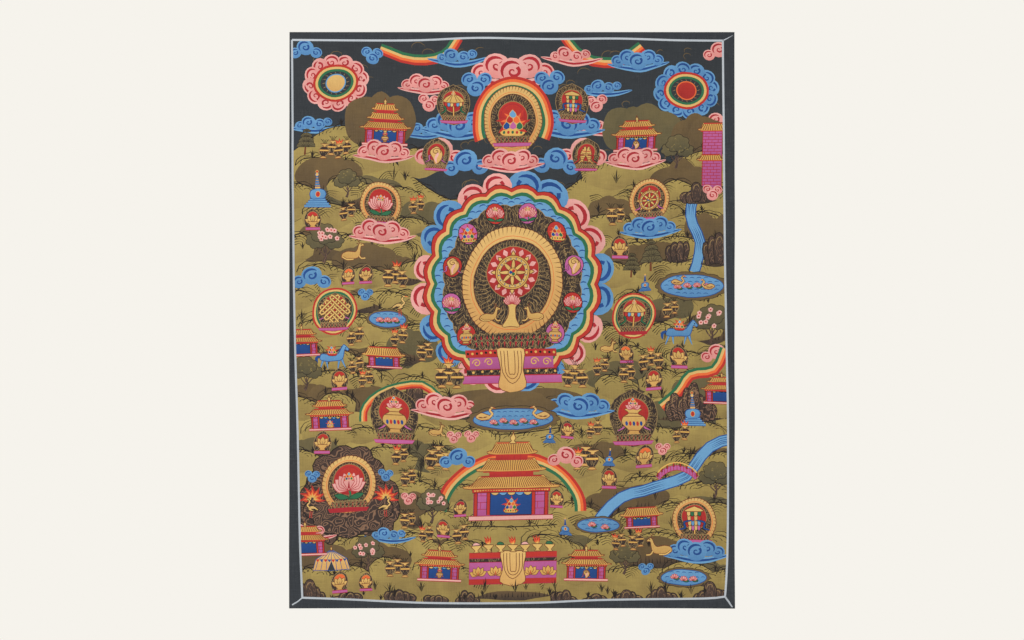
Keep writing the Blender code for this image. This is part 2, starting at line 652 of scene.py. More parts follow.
def jewels(art, x, y, size):
    """A heap of bright gems with its fire."""
    with art.at(x, y, size):
        flames(art, 0, 0.45, 0.95, 7)
        for across, up, paint in GEMS:
            with art.at(across, up):
                gem = both_sides((0, -0.24), (0.2, -0.14), (0.2, 0.08), (0, 0.3), bends=2)
                art.fill(gem, paint, "cream", FINE)


# Emblems, each about two units tall from its foot


def gold(art, outline, fade=down(2, -0.6)):
    art.fill(outline, "body_gold", "brown_line", LINE, fade=fade)


def scarf(art, span=1.0, low=0.0, paint="orchid"):
    """A silk tied behind an emblem, with its two ends flying."""
    for side in (-1, 1):
        x = side * span
        silk = bowed((0.1 * side, 1.0), (0.6 * x, 0.85), (0.55 * x, 0.45), (0.95 * x, 0.2 + low))
        art.edged(silk, paint, "ink", 0.12, "leaf")


def vase(art):
    scarf(art)
    foot, body = ((0, 0), (0.4, 0.02), (0.28, 0.2)), ((0.68, 0.62), (0.6, 1.0))
    gold(art, both_sides(*foot, *body, (0.26, 1.22), (0.5, 1.46), (0, 1.5)))
    for y, w in ((0.24, 0.3), (1.04, 0.52), (1.22, 0.24)):
        art.line([(-w, y), (w, y)], "brown_line")
    for k in range(-2, 3):
        art.fill(circle(0.21 * k, 0.63, 0.08, 0.14, 7), "vermilion" if k % 2 else "deep_blue")
    lotus(art, 0, 1.46, 0.5, 5)
    jewels(art, 0, 1.72, 0.3)


def conch(art):
    scarf(art, 1.1)
    shell = [
        (-0.1, 0.0), (0.3, 0.16), (0.62, 0.6), (0.66, 1.1), (0.4, 1.55), (0.0, 1.8), (-0.4, 1.6),
        (-0.62, 1.2), (-0.22, 0.5)
    ]
    art.fill(soft(shell, True, 3), "cream", "brown_line", LINE, fade=((0, 1.8), (0.2, -0.8)))
    art.brush(bowed((0.1, 0.12), (-0.02, 0.6), (0.18, 1.0), (0.12, 1.2)), "cloud_pink", 0.26, "leaf")
    with art.at(0.0, 1.3):
        art.line(spiral(0.48, 0.06, -20, 520, 18, 0.8), "brown_line")


def knot(art):
    """The endless knot: three looped cords each way."""
    scarf(art, 1.2)
    with art.at(0, 0.95, 0.27, 45):
        for k in (-2, 0, 2):
            for flat in (False, True):
                loop = [
                    (-3.0, k - 0.55), (3.0, k - 0.55), (3.45, k), (3.0, k + 0.55), (-3.0, k + 0.55),
                    (-3.45, k)
                ]
                loop = soft([(b, a) for a, b in loop] if flat else loop, True, 2)
                art.edged(loop + loop[:1], "body_gold", "brown_line", 0.4)


def parasol(art):
    art.edged([(0, 0.0), (0, 1.2)], "roof_yellow", "brown_line", 0.07)
    scarf(art, 1.15, -0.1, "leaf_green")
    for k in range(6):
        u = -0.75 + 0.25 * k
        flap = [(u, 1.2), (u, 0.86), (u + 0.125, 0.76), (u + 0.25, 0.86), (u + 0.25, 1.2)]
        art.fill(flap, ("vermilion", "sky_blue", "cream")[k % 3], "ink", FINE)
    gold(art, both_sides((0, 1.1), (0.85, 1.15), (0.72, 1.45), (0.4, 1.7), (0, 1.84)))
    for k in (-2, -1, 1, 2):
        art.line([(0.3 * k, 1.2), (0.06 * k, 1.78)], "brown_line", FINE)
    jewels(art, 0, 1.8, 0.24)


def banner(art):
    art.edged([(0, 0.0), (0, 2.0)], "roof_yellow", "brown_line", 0.07)
    for k, paint in enumerate(("orchid", "sky_blue", "vermilion", "leaf_green")):
        y, w = 0.32 + 0.34 * k, 0.42 + 0.03 * k
        for j in range(4):
            u = -w + w * j / 2
            flap = [
                (u, y + 0.3), (u, y + 0.04), (u + w / 4, y - 0.08), (u + w / 2, y + 0.04),
                (u + w / 2, y + 0.3)
            ]
            art.fill(flap, paint if j % 2 else "cream", "ink", FINE)
    gold(art, both_sides((0, 1.62), (0.66, 1.62), (0.5, 1.8), (0, 2.0)))
    scarf(art, 1.2, 0.1, "deep_blue")


def fishes(art):
    """Two golden fish, heads up."""
    body = [
        (0.0, 0.3), (0.3, 0.0), (0.34, 0.2), (0.14, 0.42), (0.3, 0.9), (0.22, 1.5), (0, 1.85), (-0.22, 1.5),
        (-0.28, 0.9), (-0.12, 0.42), (-0.3, 0.1)
    ]
    for side in (-1, 1):
        with art.at(0.42 * side, 0.0, 1.0, 8 * side, side < 0):
            gold(art, soft(body, True, 3))
            for k in range(4):
                art.line(circle(0, 0.6 + 0.2 * k, 0.2, 0.1, 5, 200, 340), "brown_line", FINE)
            art.line(circle(0, 1.42, 0.22, 0.08, 5, 200, 340), "vermilion")
            art.fill(circle(0.1, 1.58, 0.06, count=6), "ink")
    scarf(art, 1.3, -0.1, "vermilion")


def big_lotus(art):
    art.brush(bowed((0, 0.0), (0.08, 0.35), (0, 0.7)), "leaf_green", 0.12)
    for side in (-1, 1):
        leaf = soft([(0, 0.15), (0.5 * side, 0.1), (0.85 * side, 0.4), (0.4 * side, 0.42)], True, 3)
        art.fill(leaf, "leaf_green", "ink", FINE)
    lotus(art, 0, 0.6, 1.05, 9)
    jewels(art, 0, 1.2, 0.34)


def urn(art):
    """A round dark jar with a gold foot, band and wide lip, holding a flame or a few leaves."""
    belly = both_sides((0, 0.14), (0.18, 0.14), (0.5, 0.62), (0.42, 1.0), (0.14, 1.18), (0, 1.18), bends=2)
    art.fill(belly, "gilded_black", "gold_line", LINE)
    art.fill(box(-0.45, 0.68, 0.45, 0.86), "roof_yellow", "brown_line", FINE)
    gold(art, both_sides((0, -0.04), (0.34, -0.02), (0.18, 0.16), (0, 0.18), bends=0))
    if chance.random() < 0.3:
        flames(art, 0, 1.32, 0.6, 3, 70)
    else:
        for lean in (-0.5, -0.2, 0.12, 0.44):
            art.line(bowed((0.1 * lean, 1.3), (0.5 * lean, 1.75), (lean, 1.9)), "ink", 0.7, "leaf")
    gold(art, both_sides((0, 1.1), (0.13, 1.12), (0.14, 1.24), (0.46, 1.42), (0, 1.42), bends=0))


def wheel(art):
    scarf(art, 1.2)
    with art.at(0, 0.95, 0.78):
        law_wheel(art, 24)


def treasure(art):
    art.fill(both_sides((0, 0.0), (0.62, 0.06), (0.75, 0.4), (0, 0.5)), "roof_yellow", "brown_line")
    for k in range(-2, 3):
        art.fill(circle(0.26 * k, 0.24, 0.08, 0.1, 7), "vermilion" if k % 2 else "leaf_green")
    jewels(art, 0, 0.42, 0.92)


def law_wheel(art, count):
    """An eight-spoked wheel of radius 1."""
    knob = soft([(-0.1, 0), (-0.1, 0.1), (0, 0.26), (0.1, 0.1), (0.1, 0)], True, 2)
    spoke = soft(
        [(-0.05, 0.1), (0.05, 0.1), (0.11, 0.42), (0.045, 0.74), (-0.045, 0.74), (-0.11, 0.42)], True, 2
    )
    for k in range(8):
        with art.at(0, 0, 1.0, 45 * k):
            gold(art, [(x, y + 1.02) for x, y in knob], None)
    art.fill(circle(0, 0, 1.0, count=count), "roof_yellow", "brown_line")
    art.fill(circle(0, 0, 0.9, count=count), "body_gold", "brown_line", FINE)
    art.fill(circle(0, 0, 0.72, count=count), "vermilion", "brown_line", fade=down(0.9, -1.2))
    for k in range(8):
        with art.at(0, 0, 1.0, 45 * k):
            gold(art, spoke, None)
            for lean in (-11.25, 11.25):
                with art.at(0, 0, 1.0, lean):
                    art.fill(circle(0, 0.81, 0.045, count=6), "deep_blue")
    art.fill(circle(0, 0, 0.26, count=18), "roof_yellow", "brown_line")
    for k, paint in enumerate(("vermilion", "deep_blue", "leaf_green")):
        with art.at(0, 0, 1.0, 120 * k):
            art.fill(soft([(0, 0), (0.12, 0.03), (0.16, 0.12), (0.05, 0.19), (-0.04, 0.12)], True, 2), paint)


RING_INNER = 0.78  # the inside of a ribbed ring, as a share of its outside


def halo(art, x, y, r):
    art.fill(circle(x, y, r, count=22), "vermilion", "gold_line", LINE, fade=down(y + r, y - 2 * r, x))
    art.line(circle(x, y, r * 0.82, count=20) + [(x + r * 0.82, y)], "rose_red", LINE)


def rays(art, x, y, w, h, count, steps, mm=LINE):
    """Gold hair strokes all round an oval."""
    for k in range(count):
        art.line(outward(x, y, w, h, math.tau * k / count, steps), "gold_line", mm, "leaf")


def ribbed_aureole(art, x, y, w, h, ribs):
    """A cream ring with curved ribs round a dark ground with gold hair strokes."""
    ring = scalloped(x, y, w, h, ribs, 0.014, 3)
    art.fill(ring, "cream", "brown_line", LINE, fade=down(y + h, y - h * 1.2, x))
    art.fill(circle(x, y, w * RING_INNER, h * RING_INNER, 36), "gilded_black", "brown_line", LINE)
    for k in range(ribs):
        turn = math.tau * k / ribs
        rib = outward(x, y, w, h, turn, ((0.99, 0.0), (0.93, 0.015), (RING_INNER + 0.09, 0.04)))
        art.line(rib, "brown_line", LINE, "taper")
        hair = outward(x, y, w, h, turn, ((RING_INNER - 0.03, 0.0), (RING_INNER - 0.2, 0.05)))
        art.line(hair, "gold_line", FINE, "taper")
    inner = RING_INNER + 0.06
    art.line(circle(x, y, w * inner, h * inner, 36) + [(x + w * inner, y)], "orange", FINE)


def rayed_mandorla(art, x, y, w, h):
    """A dark almond of gold rays, as behind a holy emblem."""
    with art.at(x, y):
        almond = both_sides((0, -h), (w * 0.62, -h * 0.8), (w, -h * 0.05), (w * 0.78, h * 0.62), (0, h))
        art.fill(almond, "gilded_black", "gold_line", FINE)
        rays(art, 0, 0, w, h, 48, ((0.52, 0.0), (0.7, 0.06), (0.88, 0.02)))


def shrine(art, x, y, size, emblem, kind="mandorla", seat="orchid"):
    """An emblem on its lotus seat before a red halo. size is the emblem's height in millimetres."""
    with art.at(x, y, size / 2.0):
        if kind == "mandorla":
            rayed_mandorla(art, 0, 1.0, 1.3, 1.6)
        elif kind == "aureole":
            ribbed_aureole(art, 0, 1.0, 1.45, 1.55, 40)
        elif kind == "rainbow":
            for k, paint in enumerate(HALO_BANDS):
                art.fill(circle(0, 0.9, 1.62 - 0.13 * k, 1.7 - 0.13 * k, 30), paint, tone=0.0)
            rayed_mandorla(art, 0, 0.92, 1.24, 1.32)
        halo(art, 0, 1.25, 0.85)
        with art.at(0, 0.1, 0.95):
            emblem(art)
        lotus_seat(art, 0, -0.08, 1.0)
        art.fill(
            both_sides((0, -0.5), (1.0, -0.48), (1.12, -0.3), (0, -0.26), bends=0), seat, "rose_red", FINE
        )


# Buildings


def roof(art, x, y, w, h):
    """A tiled roof from the front: hollow slopes, lifted eaves and a line for each row of tiles."""
    with art.at(x, y):
        eave = soft(
            [(-w, h * 0.2), (-w * 0.86, 0.0), (0, -h * 0.04), (w * 0.86, 0.0), (w, h * 0.2)], False, 3
        )
        slope = [(w * 0.8, h * 0.34), (w * 0.66, h), (-w * 0.66, h), (-w * 0.8, h * 0.34)]
        art.fill(eave + slope, "roof_yellow", "brown_line", LINE, fade=down(h, -h * 0.8))
        tiles = max(int(w * 0.7), 6)
        for k in range(tiles):
            share = (k + 0.5) / tiles * 2 - 1
            art.line(
                [(w * 0.65 * share, h * 0.9), (w * 0.9 * share, h * (0.08 + 0.1 * abs(share) ** 3))],
                "brown_line", LINE
            )
        art.line([(-w * 0.62, h * 0.92), (w * 0.62, h * 0.92)], "vermilion", BOLD)
        art.line([(-w * 0.8, -h * 0.06), (w * 0.8, -h * 0.06)], "vermilion", BOLD)


def bricks(art, x0, y0, x1, y1, paint="orchid", course=3.4):
    """A wall with its courses drawn in."""
    art.fill(box(x0, y0, x1, y1), paint, "rose_red", LINE, fade=down(y1, y0 * 2 - y1))
    rows = max(int((y1 - y0) / course), 1)
    tall = (y1 - y0) / rows
    for row in range(rows):
        y = y0 + tall * row
        if row:
            art.line([(x0, y), (x1, y)], "rose_red", FINE)
        for k in range(int((x1 - x0) / (course * 2.1))):
            x = x0 + course * 2.1 * (k + (0.5 if row % 2 else 0.98))
            if x < x1 - 0.8:
                art.line([(x, y), (x, y + tall)], "rose_red", FINE)


def finial(art, x, y, size):
    with art.at(x, y, size):
        gold(art, both_sides((0, 0), (0.5, 0.05), (0.2, 0.4), (0.42, 0.8), (0.1, 1.3), (0, 1.9)), None)


def hall(art, x, y, w, h, inside=None):
    """One open storey between red pillars, with a frill under the beam."""
    with art.at(x, y):
        bricks(art, -w, 0, w, h, "orchid", h / 4)
        art.fill(box(-w * 0.55, 0, w * 0.55, h * 0.86), "deep_blue", "ink", LINE, fade=down(h, -h))
        if inside:
            with art.at(0, h * 0.08, h * 0.34):
                inside(art)
        for k in range(5):
            u = w * 0.22 * (k - 2)
            art.fill(
                circle(u, h * 0.86, w * 0.11, h * 0.13, 6, 180, 360), "sky_blue" if k % 2 else "cream", "ink",
                FINE
            )
        for far in (-0.94, -0.6, 0.6, 0.94):
            art.fill(box(w * (far - 0.045), 0, w * (far + 0.045), h), "vermilion", "ink", FINE)
        art.fill(box(-w * 1.04, h * 0.86, w * 1.04, h * 1.02), "vermilion", "ink", FINE)
        art.fill(box(-w * 1.12, -h * 0.16, w * 1.12, 0), "cloud_pink", "rose_red", LINE)
        count = int(w * 0.6) + 3
        for k in range(count):
            art.fill(circle(-w + 2 * w * (k + 0.5) / count, h * 0.94, h * 0.045, count=6), "roof_yellow")


def pagoda(art, x, y, w, tiers, inside=None):
    """Storeys that narrow upwards, each under its own tiled roof."""
    h = w * 0.62
    hall(art, x, y, w * 0.86, h, inside)
    up, half = y + h, w
    for tier in range(tiers):
        roof(art, x, up, half * 1.12, h * 0.46)
        up += h * 0.42
        half *= 0.72
        if tier < tiers - 1:
            bricks(art, x - half * 0.7, up, x + half * 0.7, up + h * 0.22, "vermilion", h * 0.11)
            up += h * 0.2
    finial(art, x, up - 0.5, w * 0.16)


def stupa(art, x, y, w):
    """A reliquary mound: steps, dome, box, rings, and sun and moon."""
    with art.at(x, y, w):
        for half, up in ((1.0, 0.0), (0.86, 0.16), (0.72, 0.32), (0.6, 0.48)):
            art.fill(box(-half, up, half, up + 0.17), "sky_blue", "deep_blue", LINE)
        dome = both_sides((0, 0.62), (0.46, 0.64), (0.62, 1.0), (0.46, 1.3), (0, 1.42))
        art.fill(dome, "sky_blue", "deep_blue", LINE, fade=((0, 1.5), (0.8, 0)))
        art.fill(circle(0, 0.98, 0.17, 0.22, 12), "vermilion", "roof_yellow", FINE)
        art.fill(box(-0.2, 1.4, 0.2, 1.56), "roof_yellow", "deep_blue", FINE)
        for k in range(8):
            half = 0.19 - 0.018 * k
            art.fill(
                box(-half, 1.58 + 0.1 * k, half, 1.66 + 0.1 * k), "sky_blue" if k % 2 else "cream",
                "deep_blue", FINE
            )
        art.fill(circle(0, 2.48, 0.14, count=12), "cream", "deep_blue", FINE)
        art.fill(circle(0, 2.7, 0.1, count=10), "vermilion", "roof_yellow", FINE)


def bridge(art, x, y, w, h):
    """A humped bridge with rails over a stream."""
    deck = circle(x, y - w * 0.55, w * 1.12, w * 0.95, 15, 150, 30)
    art.edged(deck, "orchid", "rose_red", 5.0)
    for k, (u, v) in enumerate(deck):
        art.line([(u, v - 2.4), (u, v + 2.4)], "rose_red", FINE)
        if k % 2 == 0:
            art.fill(box(u - 0.8, v + 1.5, u + 0.8, v + h), "vermilion", "ink", FINE)
    art.line([(u, v + h) for u, v in deck], "roof_yellow", 1.4)


def folds(art, x, y, h, w):
    """A yellow cloth hung over the front of a seat, with its hanging folds."""
    with art.at(x, y, h):
        drape = both_sides((0, -0.1), (w, 0.06), (w * 0.82, 0.5), (w, 1.0), (0, 1.02))
        art.fill(drape, "cream", "brown_line", LINE, fade=down(1, -0.5))
        for k in (0.25, 0.5, 0.75):
            art.line(
                bowed(
                    (-k * w, 0.96), (-k * w * 0.9, 0.42), (0, 0.5 - 0.48 * k), (k * w * 0.9, 0.42),
                    (k * w, 0.96)
                ),
                "brown_line", LINE
            )


def altar(art, x, y, w, h, bowls=7):
    """A table under a cloth, with lamps and bowls on it."""
    with art.at(x, y):
        art.fill(box(-w, 0, w, h), "orchid", "rose_red", LINE, fade=down(h, -h))
        for share, paint, tall in (
            (0.84, "vermilion", 0.16), (0.7, "gilded_black", 0.12), (0.02, "vermilion", 0.14)
        ):
            art.fill(box(-w, h * share, w, h * (share + tall)), paint, "rose_red", FINE)
        for k in (-2, -1, 1, 2):
            lotus(art, w * 0.4 * k, h * 0.26, h * 0.3, 5, "roof_yellow", "vermilion", "brown_line")
        folds(art, 0, 0, h, 0.4)
        for k in range(bowls):
            with art.at(w * (1.68 * k / (bowls - 1) - 0.84), h, h * 0.28):
                gold(
                    art,
                    both_sides(
                        (0, 0), (0.4, 0.02), (0.14, 0.22), (0.52, 0.62), (0.56, 0.8), (0, 0.8), bends=2
                    ),
                    None
                )
                if k % 2:
                    flames(art, 0, 0.75, 0.9, 3, 40)
                else:
                    art.fill(
                        circle(0, 0.82, 0.42, 0.34, 8, 0, 180), "leaf_green" if k % 4 else "cloud_pink",
                        "ink", FINE
                    )


def tent(art, x, y, w):
    """A travelling tent with a blue and red frill."""
    with art.at(x, y, w):
        art.fill(
            both_sides((0, 0), (1, 0), (0.84, 0.6), (0, 1.15), bends=0), "cream", "deep_blue", LINE,
            fade=down(1, -0.4)
        )
        for k in range(-3, 4):
            art.line([(k * 0.29, 0.02), (k * 0.23, 0.6), (0, 1.12)], "deep_blue", FINE)
        for k in range(8):
            u = 0.21 * k - 0.84
            art.fill([(u, 0.6), (u + 0.105, 0.44), (u + 0.21, 0.6)], "deep_blue" if k % 2 else "vermilion")
        art.fill([(-0.2, 0), (0.2, 0), (0, 0.5)], "lamp_black", "deep_blue", LINE)
        finial(art, 0, 1.1, 0.14)


# Animals, two units long or tall, facing right

DEER = (
    (-1.0, 0.25), (-0.9, 0.62), (-0.4, 0.78), (0.2, 0.7), (0.42, 0.95), (0.52, 1.32), (0.66, 1.46),
    (0.98, 1.3), (0.94, 1.18), (0.72, 1.14), (0.7, 0.8), (0.6, 0.35), (0.3, 0.12), (-0.6, 0.08),
)
HORSE = (
    (-0.95, 0.72), (-0.8, 1.08), (-0.3, 1.06), (0.3, 1.06), (0.6, 1.4), (0.82, 1.72), (1.08, 1.5),
    (1.18, 1.34), (1.06, 1.26), (0.88, 1.36), (0.78, 1.0), (0.6, 0.66), (0.0, 0.6), (-0.6, 0.58),
)
SWAN = ((-0.9, 0.45), (-0.4, 0.1), (0.3, 0.1), (0.6, 0.4), (0.1, 0.62), (-0.4, 0.8))


def deer(art):
    """A deer lying down with its head up."""
    art.fill(soft(DEER, True, 3), "body_gold", "brown_line", LINE, fade=down(1.4, -0.5))
    for path in (((-0.9, 0.3), (-0.5, 0.05), (0.05, 0.06)), ((0.55, 0.35), (0.75, 0.1), (1.1, 0.1))):
        art.edged(bowed(*path), "body_gold", "brown_line", 0.1)
    for path in (
        ((0.6, 1.42), (0.5, 1.66), (0.34, 1.8)), ((0.54, 1.58), (0.62, 1.74)), ((0.5, 1.38), (0.32, 1.46))
    ):
        art.line(path, "brown_line")
    art.fill(circle(0.74, 1.32, 0.05, count=6), "ink")


def horse(art):
    """A pacing horse with jewels on its saddle."""
    for x0, x1 in ((-0.72, -0.95), (-0.5, -0.4), (0.42, 0.3), (0.6, 0.86)):
        art.edged(
            bowed((x0, 0.7), (x0 * 0.6 + x1 * 0.4, 0.4), (x1, 0.05)), "sky_blue", "deep_blue", 0.14, "taper"
        )
    art.fill(soft(HORSE, True, 3), "sky_blue", "deep_blue", LINE, fade=down(1.7, 0))
    art.brush(bowed((-0.92, 0.95), (-1.2, 0.8), (-1.15, 0.4)), "deep_blue", 0.22, "leaf")
    for k in range(5):
        art.line(
            [(0.42 + 0.09 * k, 1.2 + 0.11 * k), (0.26 + 0.09 * k, 1.14 + 0.11 * k)], "deep_blue", BOLD,
            "taper"
        )
    art.fill(
        soft([(-0.3, 0.98), (0.2, 0.98), (0.24, 1.14), (-0.34, 1.14)], True, 2), "vermilion", "ink", FINE
    )
    jewels(art, -0.05, 1.14, 0.42)
    art.fill(circle(0.96, 1.46, 0.05, count=6), "ink")


def crane(art):
    """A standing crane."""
    for u in (-0.08, 0.1):
        art.line([(u, 0.0), (u - 0.04, 0.42), (u - 0.1, 0.8)], "vermilion")
    art.fill(
        soft([(-0.75, 0.72), (-0.3, 1.12), (0.12, 1.12), (0.26, 0.86), (-0.08, 0.66)], True, 3), "cream",
        "ink", LINE
    )
    art.edged(bowed((0.1, 0.95), (0.36, 1.22), (0.14, 1.5), (0.3, 1.76)), "cream", "ink", 0.12)
    art.fill(circle(0.32, 1.78, 0.12, 0.1, 9), "cream", "ink", FINE)
    art.line([(0.42, 1.8), (0.74, 1.72)], "orange", BOLD, "taper")
    for k in range(3):
        art.line([(-0.3 + 0.12 * k, 0.86), (-0.82 + 0.08 * k, 0.6 - 0.04 * k)], "ink", BOLD, "taper")


def swan(art):
    art.fill(soft(SWAN, True, 3), "cream", "brown_line", LINE, fade=down(0.8, -0.5))
    art.edged(bowed((0.45, 0.35), (0.72, 0.65), (0.46, 0.95), (0.62, 1.2)), "cream", "brown_line", 0.16)
    art.fill(circle(0.66, 1.24, 0.14, 0.11, 9), "cream", "brown_line", FINE)
    art.line([(0.78, 1.24), (1.02, 1.18)], "orange", BOLD, "taper")
    for k in range(3):
        art.line(circle(-0.3 + 0.1 * k, 0.5, 0.35, 0.2, 5, 200, 330), "brown_line", FINE)


def beast(art, x, y, size, animal, flip=False):
    with art.at(x, y, size / 2.0, 0.0, flip):
        animal(art)


def urns(art, x, y, count, size=24):
    """A group of jars, the back ones first."""
    for k in sorted(range(count), key=lambda k: k % 2 == 0):
        with art.at(
            x + 8.5 * (k - (count - 1) / 2), y + (4 if k % 2 else 0), near(size, 0.12) / 2,
            chance.uniform(-4, 4)
        ):
            urn(art)


def small_shrine(art, x, y, size, halo_paint):
    """A gold lotus in a bowl before a small dark mandorla."""
    with art.at(x, y, size / 2.0):
        almond = both_sides((0, -0.3), (0.72, -0.1), (0.98, 0.8), (0.7, 1.7), (0, 2.2), bends=2)
        art.fill(almond, "gilded_black", "gold_line", FINE)
        art.fill(circle(0, 1.2, 0.66, count=12), halo_paint, "gold_line", FINE)
        lotus(art, 0, 0.52, 1.0, 5, "body_gold", "gold_line", "brown_line")
        gold(art, both_sides((0, 0.0), (0.34, 0.02), (0.24, 0.16), (0.62, 0.66), (0, 0.66), bends=0))
        art.fill(box(-0.86, -0.34, 0.86, -0.02), "orchid", "rose_red", FINE)


# The painting


def in_a_cloud(art, x, y, disc, rim, kind):
    """The sun or the moon in a ring of rainbow and cloud."""
    for k in range(12):
        a = math.radians(30 * k + 8)
        curl(art, x + 29 * math.cos(a), y + 24 * math.sin(a), 9.6, kind, bool(k % 2), 30 * k - 60)
    for k, paint in enumerate(HALO_BANDS + ("lamp_black",)):
        art.fill(circle(x, y, 26 - 2.8 * k, 21.5 - 2.6 * k, 28), paint, tone=0.0)
    art.fill(circle(x, y, 11, 10.2, 26), disc, rim, 1.3, fade=down(y + 8, y - 24, x))
    for k in range(16):
        a = math.tau * k / 16
        lean = a + 0.1
        ray = [
            (x + 12.6 * math.cos(a), y + 11.4 * math.sin(a)),
            (x + 16.4 * math.cos(lean), y + 13.6 * math.sin(lean))
        ]
        art.line(ray, "gold_line", LINE, "taper")


def sky(art):
    """Fine curls on the dark, far clouds, rainbows, the sun and the moon."""
    for _ in range(70):
        x, y, r = chance.uniform(-235, 235), chance.uniform(480, 645), chance.uniform(4, 9)
        art.line(
            circle(x, y, r, r * 0.8, 7, chance.uniform(-20, 60), chance.uniform(170, 260)), "gold_shade",
            LINE, "leaf"
        )
    rainbow(art, bowed((-60, 655), (-78, 634), (-112, 628), (-150, 640)), 12)
    rainbow(art, bowed((150, 645), (118, 626), (82, 632), (62, 655)), 12)
    for x, y, size, kind, plan in (
        (-62, 634, 12, "blue", "drift"), (68, 634, 12, "rose", "drift"), (144, 628, 12, "blue", "bank"),
        (-160, 632, 10, "blue", "knot"),
        (-100, 600, 11, "rose", "bank"), (104, 598, 11, "blue", "drift"), (-236, 640, 10, "blue", "crown"),
        (238, 636, 10, "rose", "crown"),
        (-104, 548, 10, "blue", "drift"), (104, 552, 10, "rose", "drift"), (-228, 556, 11, "blue", "drift"),
        (232, 556, 9, "rose", "crown"),
    ):
        cloud(art, x, y, size, kind, plan)
    in_a_cloud(art, -203, 602, "cream", "sky_blue", "rose")
    in_a_cloud(art, 199, 592, "vermilion", "orange", "blue")


def far_land(art):
    """The hills behind, from the far ones to the near."""
    hill(art, (-256, 520), (-205, 552), (-160, 538), (-120, 500), (-70, 470), (-20, 486), (30, 470), foot=300)
    hill(art, (10, 440), (60, 478), (110, 508), (160, 490), (210, 520), (256, 506), foot=300)
    hill(
        art, (-256, 440), (-200, 462), (-150, 448), (-90, 420), (-30, 400), (60, 410), (120, 440), (180, 452),
        (256, 430), foot=200
    )
    hill(
        art, (-256, 330), (-190, 350), (-120, 330), (-60, 300), (0, 290), (70, 305), (130, 335), (190, 345),
        (256, 322), foot=100
    )
    hill(
        art, (-256, 215), (-180, 240), (-110, 225), (-40, 200), (50, 205), (120, 232), (180, 240), (256, 214),
        foot=10
    )
    hill(
        art, (-256, 120), (-190, 140), (-120, 122), (-60, 96), (60, 96), (130, 128), (190, 138), (256, 116),
        foot=5
    )


# Where the land lies in shade: across, up, half as wide and half as high, in millimetres
SHADED = (
    (-150, 560, 44, 38), (146, 552, 48, 34), (214, 540, 36, 28), (-206, 498, 44, 26), (-166, 476, 52, 23),
    (196, 492, 39, 21), (-96, 448, 34, 26),
    (112, 456, 31, 21), (-226, 418, 34, 23), (-168, 398, 44, 21), (146, 404, 44, 21), (226, 430, 34, 26),
    (-128, 388, 26, 18), (176, 344, 39, 16),
    (-176, 352, 31, 14), (104, 330, 23, 18), (-114, 300, 34, 23), (-182, 286, 52, 16), (226, 322, 31, 21),
    (128, 266, 44, 21), (216, 252, 39, 18),
    (-226, 240, 36, 21), (-164, 238, 44, 18), (0, 236, 81, 23), (176, 214, 65, 26), (-96, 176, 39, 21),
    (98, 176, 36, 18), (-228, 180, 34, 18),
    (228, 172, 31, 16), (150, 128, 39, 16), (-112, 116, 34, 23), (112, 120, 34, 21), (222, 112, 36, 21),
    (-226, 62, 36, 18), (-160, 56, 44, 21),
    (156, 66, 47, 21), (226, 40, 36, 16), (-76, 70, 26, 13), (74, 74, 26, 13),
)


# Rows of hillocks, and where they stand to each side of the middle
HILLOCK_ROWS = range(508, 16, -31)
HILLOCKS = (66, 126, 182, 230)


def ground_cover(art):
    """Hillocks, shaded land and grass between the scenes, the far ones first."""
    shaded = iter(sorted(SHADED, key=lambda place: -place[1]))
    ahead = next(shaded)
    for place, y in enumerate(HILLOCK_ROWS):
        while ahead and ahead[1] > y - 8:
            mass(art, *ahead, chance.choice(("gold_shade", "gold_shade", "bush_green")))
            ahead = next(shaded, None)
        for across in HILLOCKS:
            if across > 70 or y < 240:
                for side in (-1, 1):
                    x = side * (across + 26 * (place % 2) - 13) + chance.uniform(-8, 8)
                    mound(art, x, y + chance.uniform(-7, 7), near(28, 0.25), near(10, 0.3))
        for _ in range(9):
            x, up, w = chance.uniform(-225, 225), y + chance.uniform(-16, 10), near(22, 0.3)
            sweeps(art, x, up, w, chance.choice((4, 5, 6)), chance.uniform(-35, 35), gap=2.3)
    for side in (-1, 1):
        for y in range(40, 500, 26):
            grass(art, side * 170, y, 74, 11, 3, 12)


OFFERINGS = (
    big_lotus, treasure, conch, big_lotus, vase, fishes, fishes, vase, big_lotus, conch, treasure, big_lotus
)


LOBES = 20
# The bands round the middle, from the outside in: half as wide in millimetres, and paint
BORDER = ((98, "vermilion"), (93.5, "cream"), (89.5, "leaf_green"), (85.5, "sky_blue"))


def lobed_border(art, x, y):
    """Clouds behind a lobed rainbow, and waves on its innermost band."""
    for k in range(LOBES):
        a = math.radians(360 / LOBES * (k + 0.5) - 90)
        kind = "rose" if (k // 2) % 2 else "blue"
        place = (x + 101 * math.cos(a), y + 112 * math.sin(a))
        curl(art, *place, near(17, 0.15), kind, bool(k % 2), math.degrees(a) - 90)
    for r, paint in BORDER:
        line = "ink" if paint == "vermilion" else None
        art.fill(scalloped(x, y, r, r + 10, LOBES, 0.055, 5), paint, line, LINE, tone=0.0)
    for k in range(80):
        a = math.tau / 80 * k
        r = 85.5 if k % 2 else 81.5
        with art.at(x + r * math.cos(a), y + (r + 9) * math.sin(a), 1.0, near(4.0, 1.5)):
            art.line(circle(0, 0, 4.0, 2.6, 5, 20, 160), "deep_blue", 1.4, "leaf")


